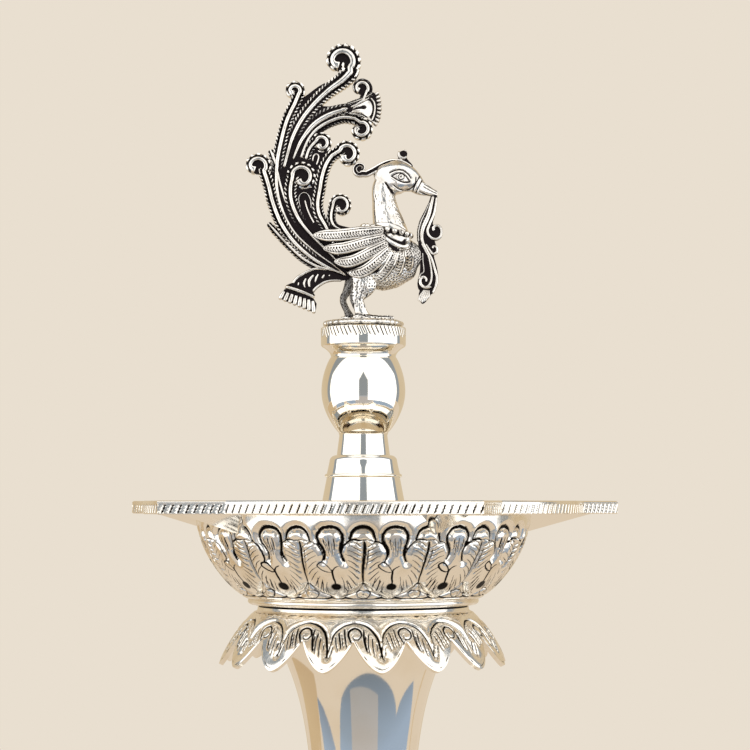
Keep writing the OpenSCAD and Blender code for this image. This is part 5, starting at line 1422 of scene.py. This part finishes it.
# A pale floor that fades into the backdrop and keeps the lamp's shadow
bm = bmesh.new()
bmesh.ops.create_circle(bm, cap_ends=True, segments=96, radius=studio["floorR"])
floorMesh = meshFrom(bm, "floor")
floorMaterial, tree = newMaterial("paleFloor")
fade = addNode(tree, "ShaderNodeMapRange", {"interpolation_type": "SMOOTHSTEP", 1: studio["fadeFrom"],
                                            2: studio["fadeTo"], 3: 0.0, 4: 1.0}, {0: axisDistance(tree)}).outputs[0]
cloth = addNode(tree, "ShaderNodeBsdfDiffuse", {"Color": linear(studio["backdrop"])}).outputs[0]
glow = addNode(tree, "ShaderNodeEmission", {"Color": linear(studio["backdrop"])}).outputs[0]
faded = addNode(tree, "ShaderNodeMixShader", None, {0: fade, 1: cloth, 2: glow}).outputs[0]
tablecloth = addNode(tree, "ShaderNodeEmission", {"Color": linear(studio["tablecloth"]),
                                                  "Strength": studio["clothPower"]}).outputs[0]
rays = addNode(tree, "ShaderNodeLightPath")
addNode(tree, "ShaderNodeOutputMaterial", None, {"Surface": addNode(
    tree, "ShaderNodeMixShader", None, {0: rays.outputs["Is Glossy Ray"], 1: faded, 2: tablecloth}).outputs[0]})
floorMesh.materials.append(floorMaterial)
floor = addObject("floor", floorMesh)

# What the polished column mirrors: the table ends at a grey-blue floor, with a grey strip before the camera,
# a tan corner and white screens far out. Points are in mm. Only reflections see these cards. They glow as painted
# reflections of a lit room, and the floor cards are darker nearer the oil lamp's axis, as painted shade.
cards = [
    ("floorFront", "#78828C", "#A3B5CC", (180, 520),
     [(22, -197), (133, -186), (249, -171), (316, -163), (381, -165), (359, -115), (348, -59), (354, 41), (451, 90),
      (559, 141), (720, 150), (1290, 170), (1200, -500), (900, -950), (300, -1260), (-300, -1260), (-1002, -812),
      (-402, -346), (-273, -267), (-201, -227), (-103, -217)]),
    ("floorLeft", "#8791A0", "#A8BAD0", (400, 650),
     [(-412, 24), (-420, -65), (-441, -154), (-472, -280), (-1110, -650), (-1290, -20), (-635, -13), (-526, 31)]),
    ("stripFront", "#ABA9A8", "#C2BEBD", (250, 500),
     [(-109, -237), (-197, -459), (-525, -1180), (645, -1117), (252, -437), (132, -251)]),
    ("cornerLeft", "#C9AF8C", "#D2B994", (300, 700),
     [(-313, 15), (-374, 12), (-664, 82), (-1280, 150), (-850, 970), (-634, 730), (-459, 442), (-339, 352)]),
    ("edgeRight", "#D5BB96", "#D5BB96", (300, 700),
     [(365, 205), (529, 216), (1250, 460), (1235, 500), (525, 240), (362, 232)])]
screen = {"near": 720, "far": 1290, "low": 0.001, "apart": 0.0002}  # mm out; metres up, and between the cards
for side in (-1, 1):
    turns = np.radians(np.linspace(studio["boxFrom"], studio["boxTo"], 20)) * side
    ring = [(r * math.sin(a), -r * math.cos(a)) for r, row in ((screen["near"], turns), (screen["far"], turns[::-1]))
            for a in row]
    cards.append(("screen%d" % (side > 0), studio["boxes"], studio["boxes"], (0, 1), ring))
for i, (name, near, far, reach, outline) in enumerate(cards):
    bm = bmesh.new()
    face = bm.faces.new([bm.verts.new((x * mm, y * mm, screen["low"] + i * screen["apart"])) for x, y in outline])
    bmesh.ops.triangulate(bm, faces=[face])
    cardMesh = meshFrom(bm, name)
    cardMaterial, tree = newMaterial(name)
    power = studio["boxPower"] if name.startswith("screen") else 1.0
    glow = addNode(tree, "ShaderNodeEmission", {"Strength": power})
    # A card's colour runs from its near colour to its far one; a darker near colour is painted shade
    if near == far:
        glow.inputs["Color"].default_value = linear(near)
    else:
        share = addNode(tree, "ShaderNodeMapRange", {1: reach[0] * mm, 2: reach[1] * mm, 3: 0.0, 4: 1.0},
                        {0: axisDistance(tree)}).outputs[0]
        blend = addNode(tree, "ShaderNodeMix", {"data_type": "RGBA", 6: linear(near), 7: linear(far)}, {0: share})
        tree.links.new(blend.outputs[2], glow.inputs["Color"])
    addNode(tree, "ShaderNodeOutputMaterial", None, {"Surface": glow.outputs[0]})
    cardMesh.materials.append(cardMaterial)
    card = addObject(name, cardMesh)
    card.visible_camera = card.visible_diffuse = card.visible_shadow = False
bpy.context.scene.view_settings.view_transform = "Standard"
print("studio set")
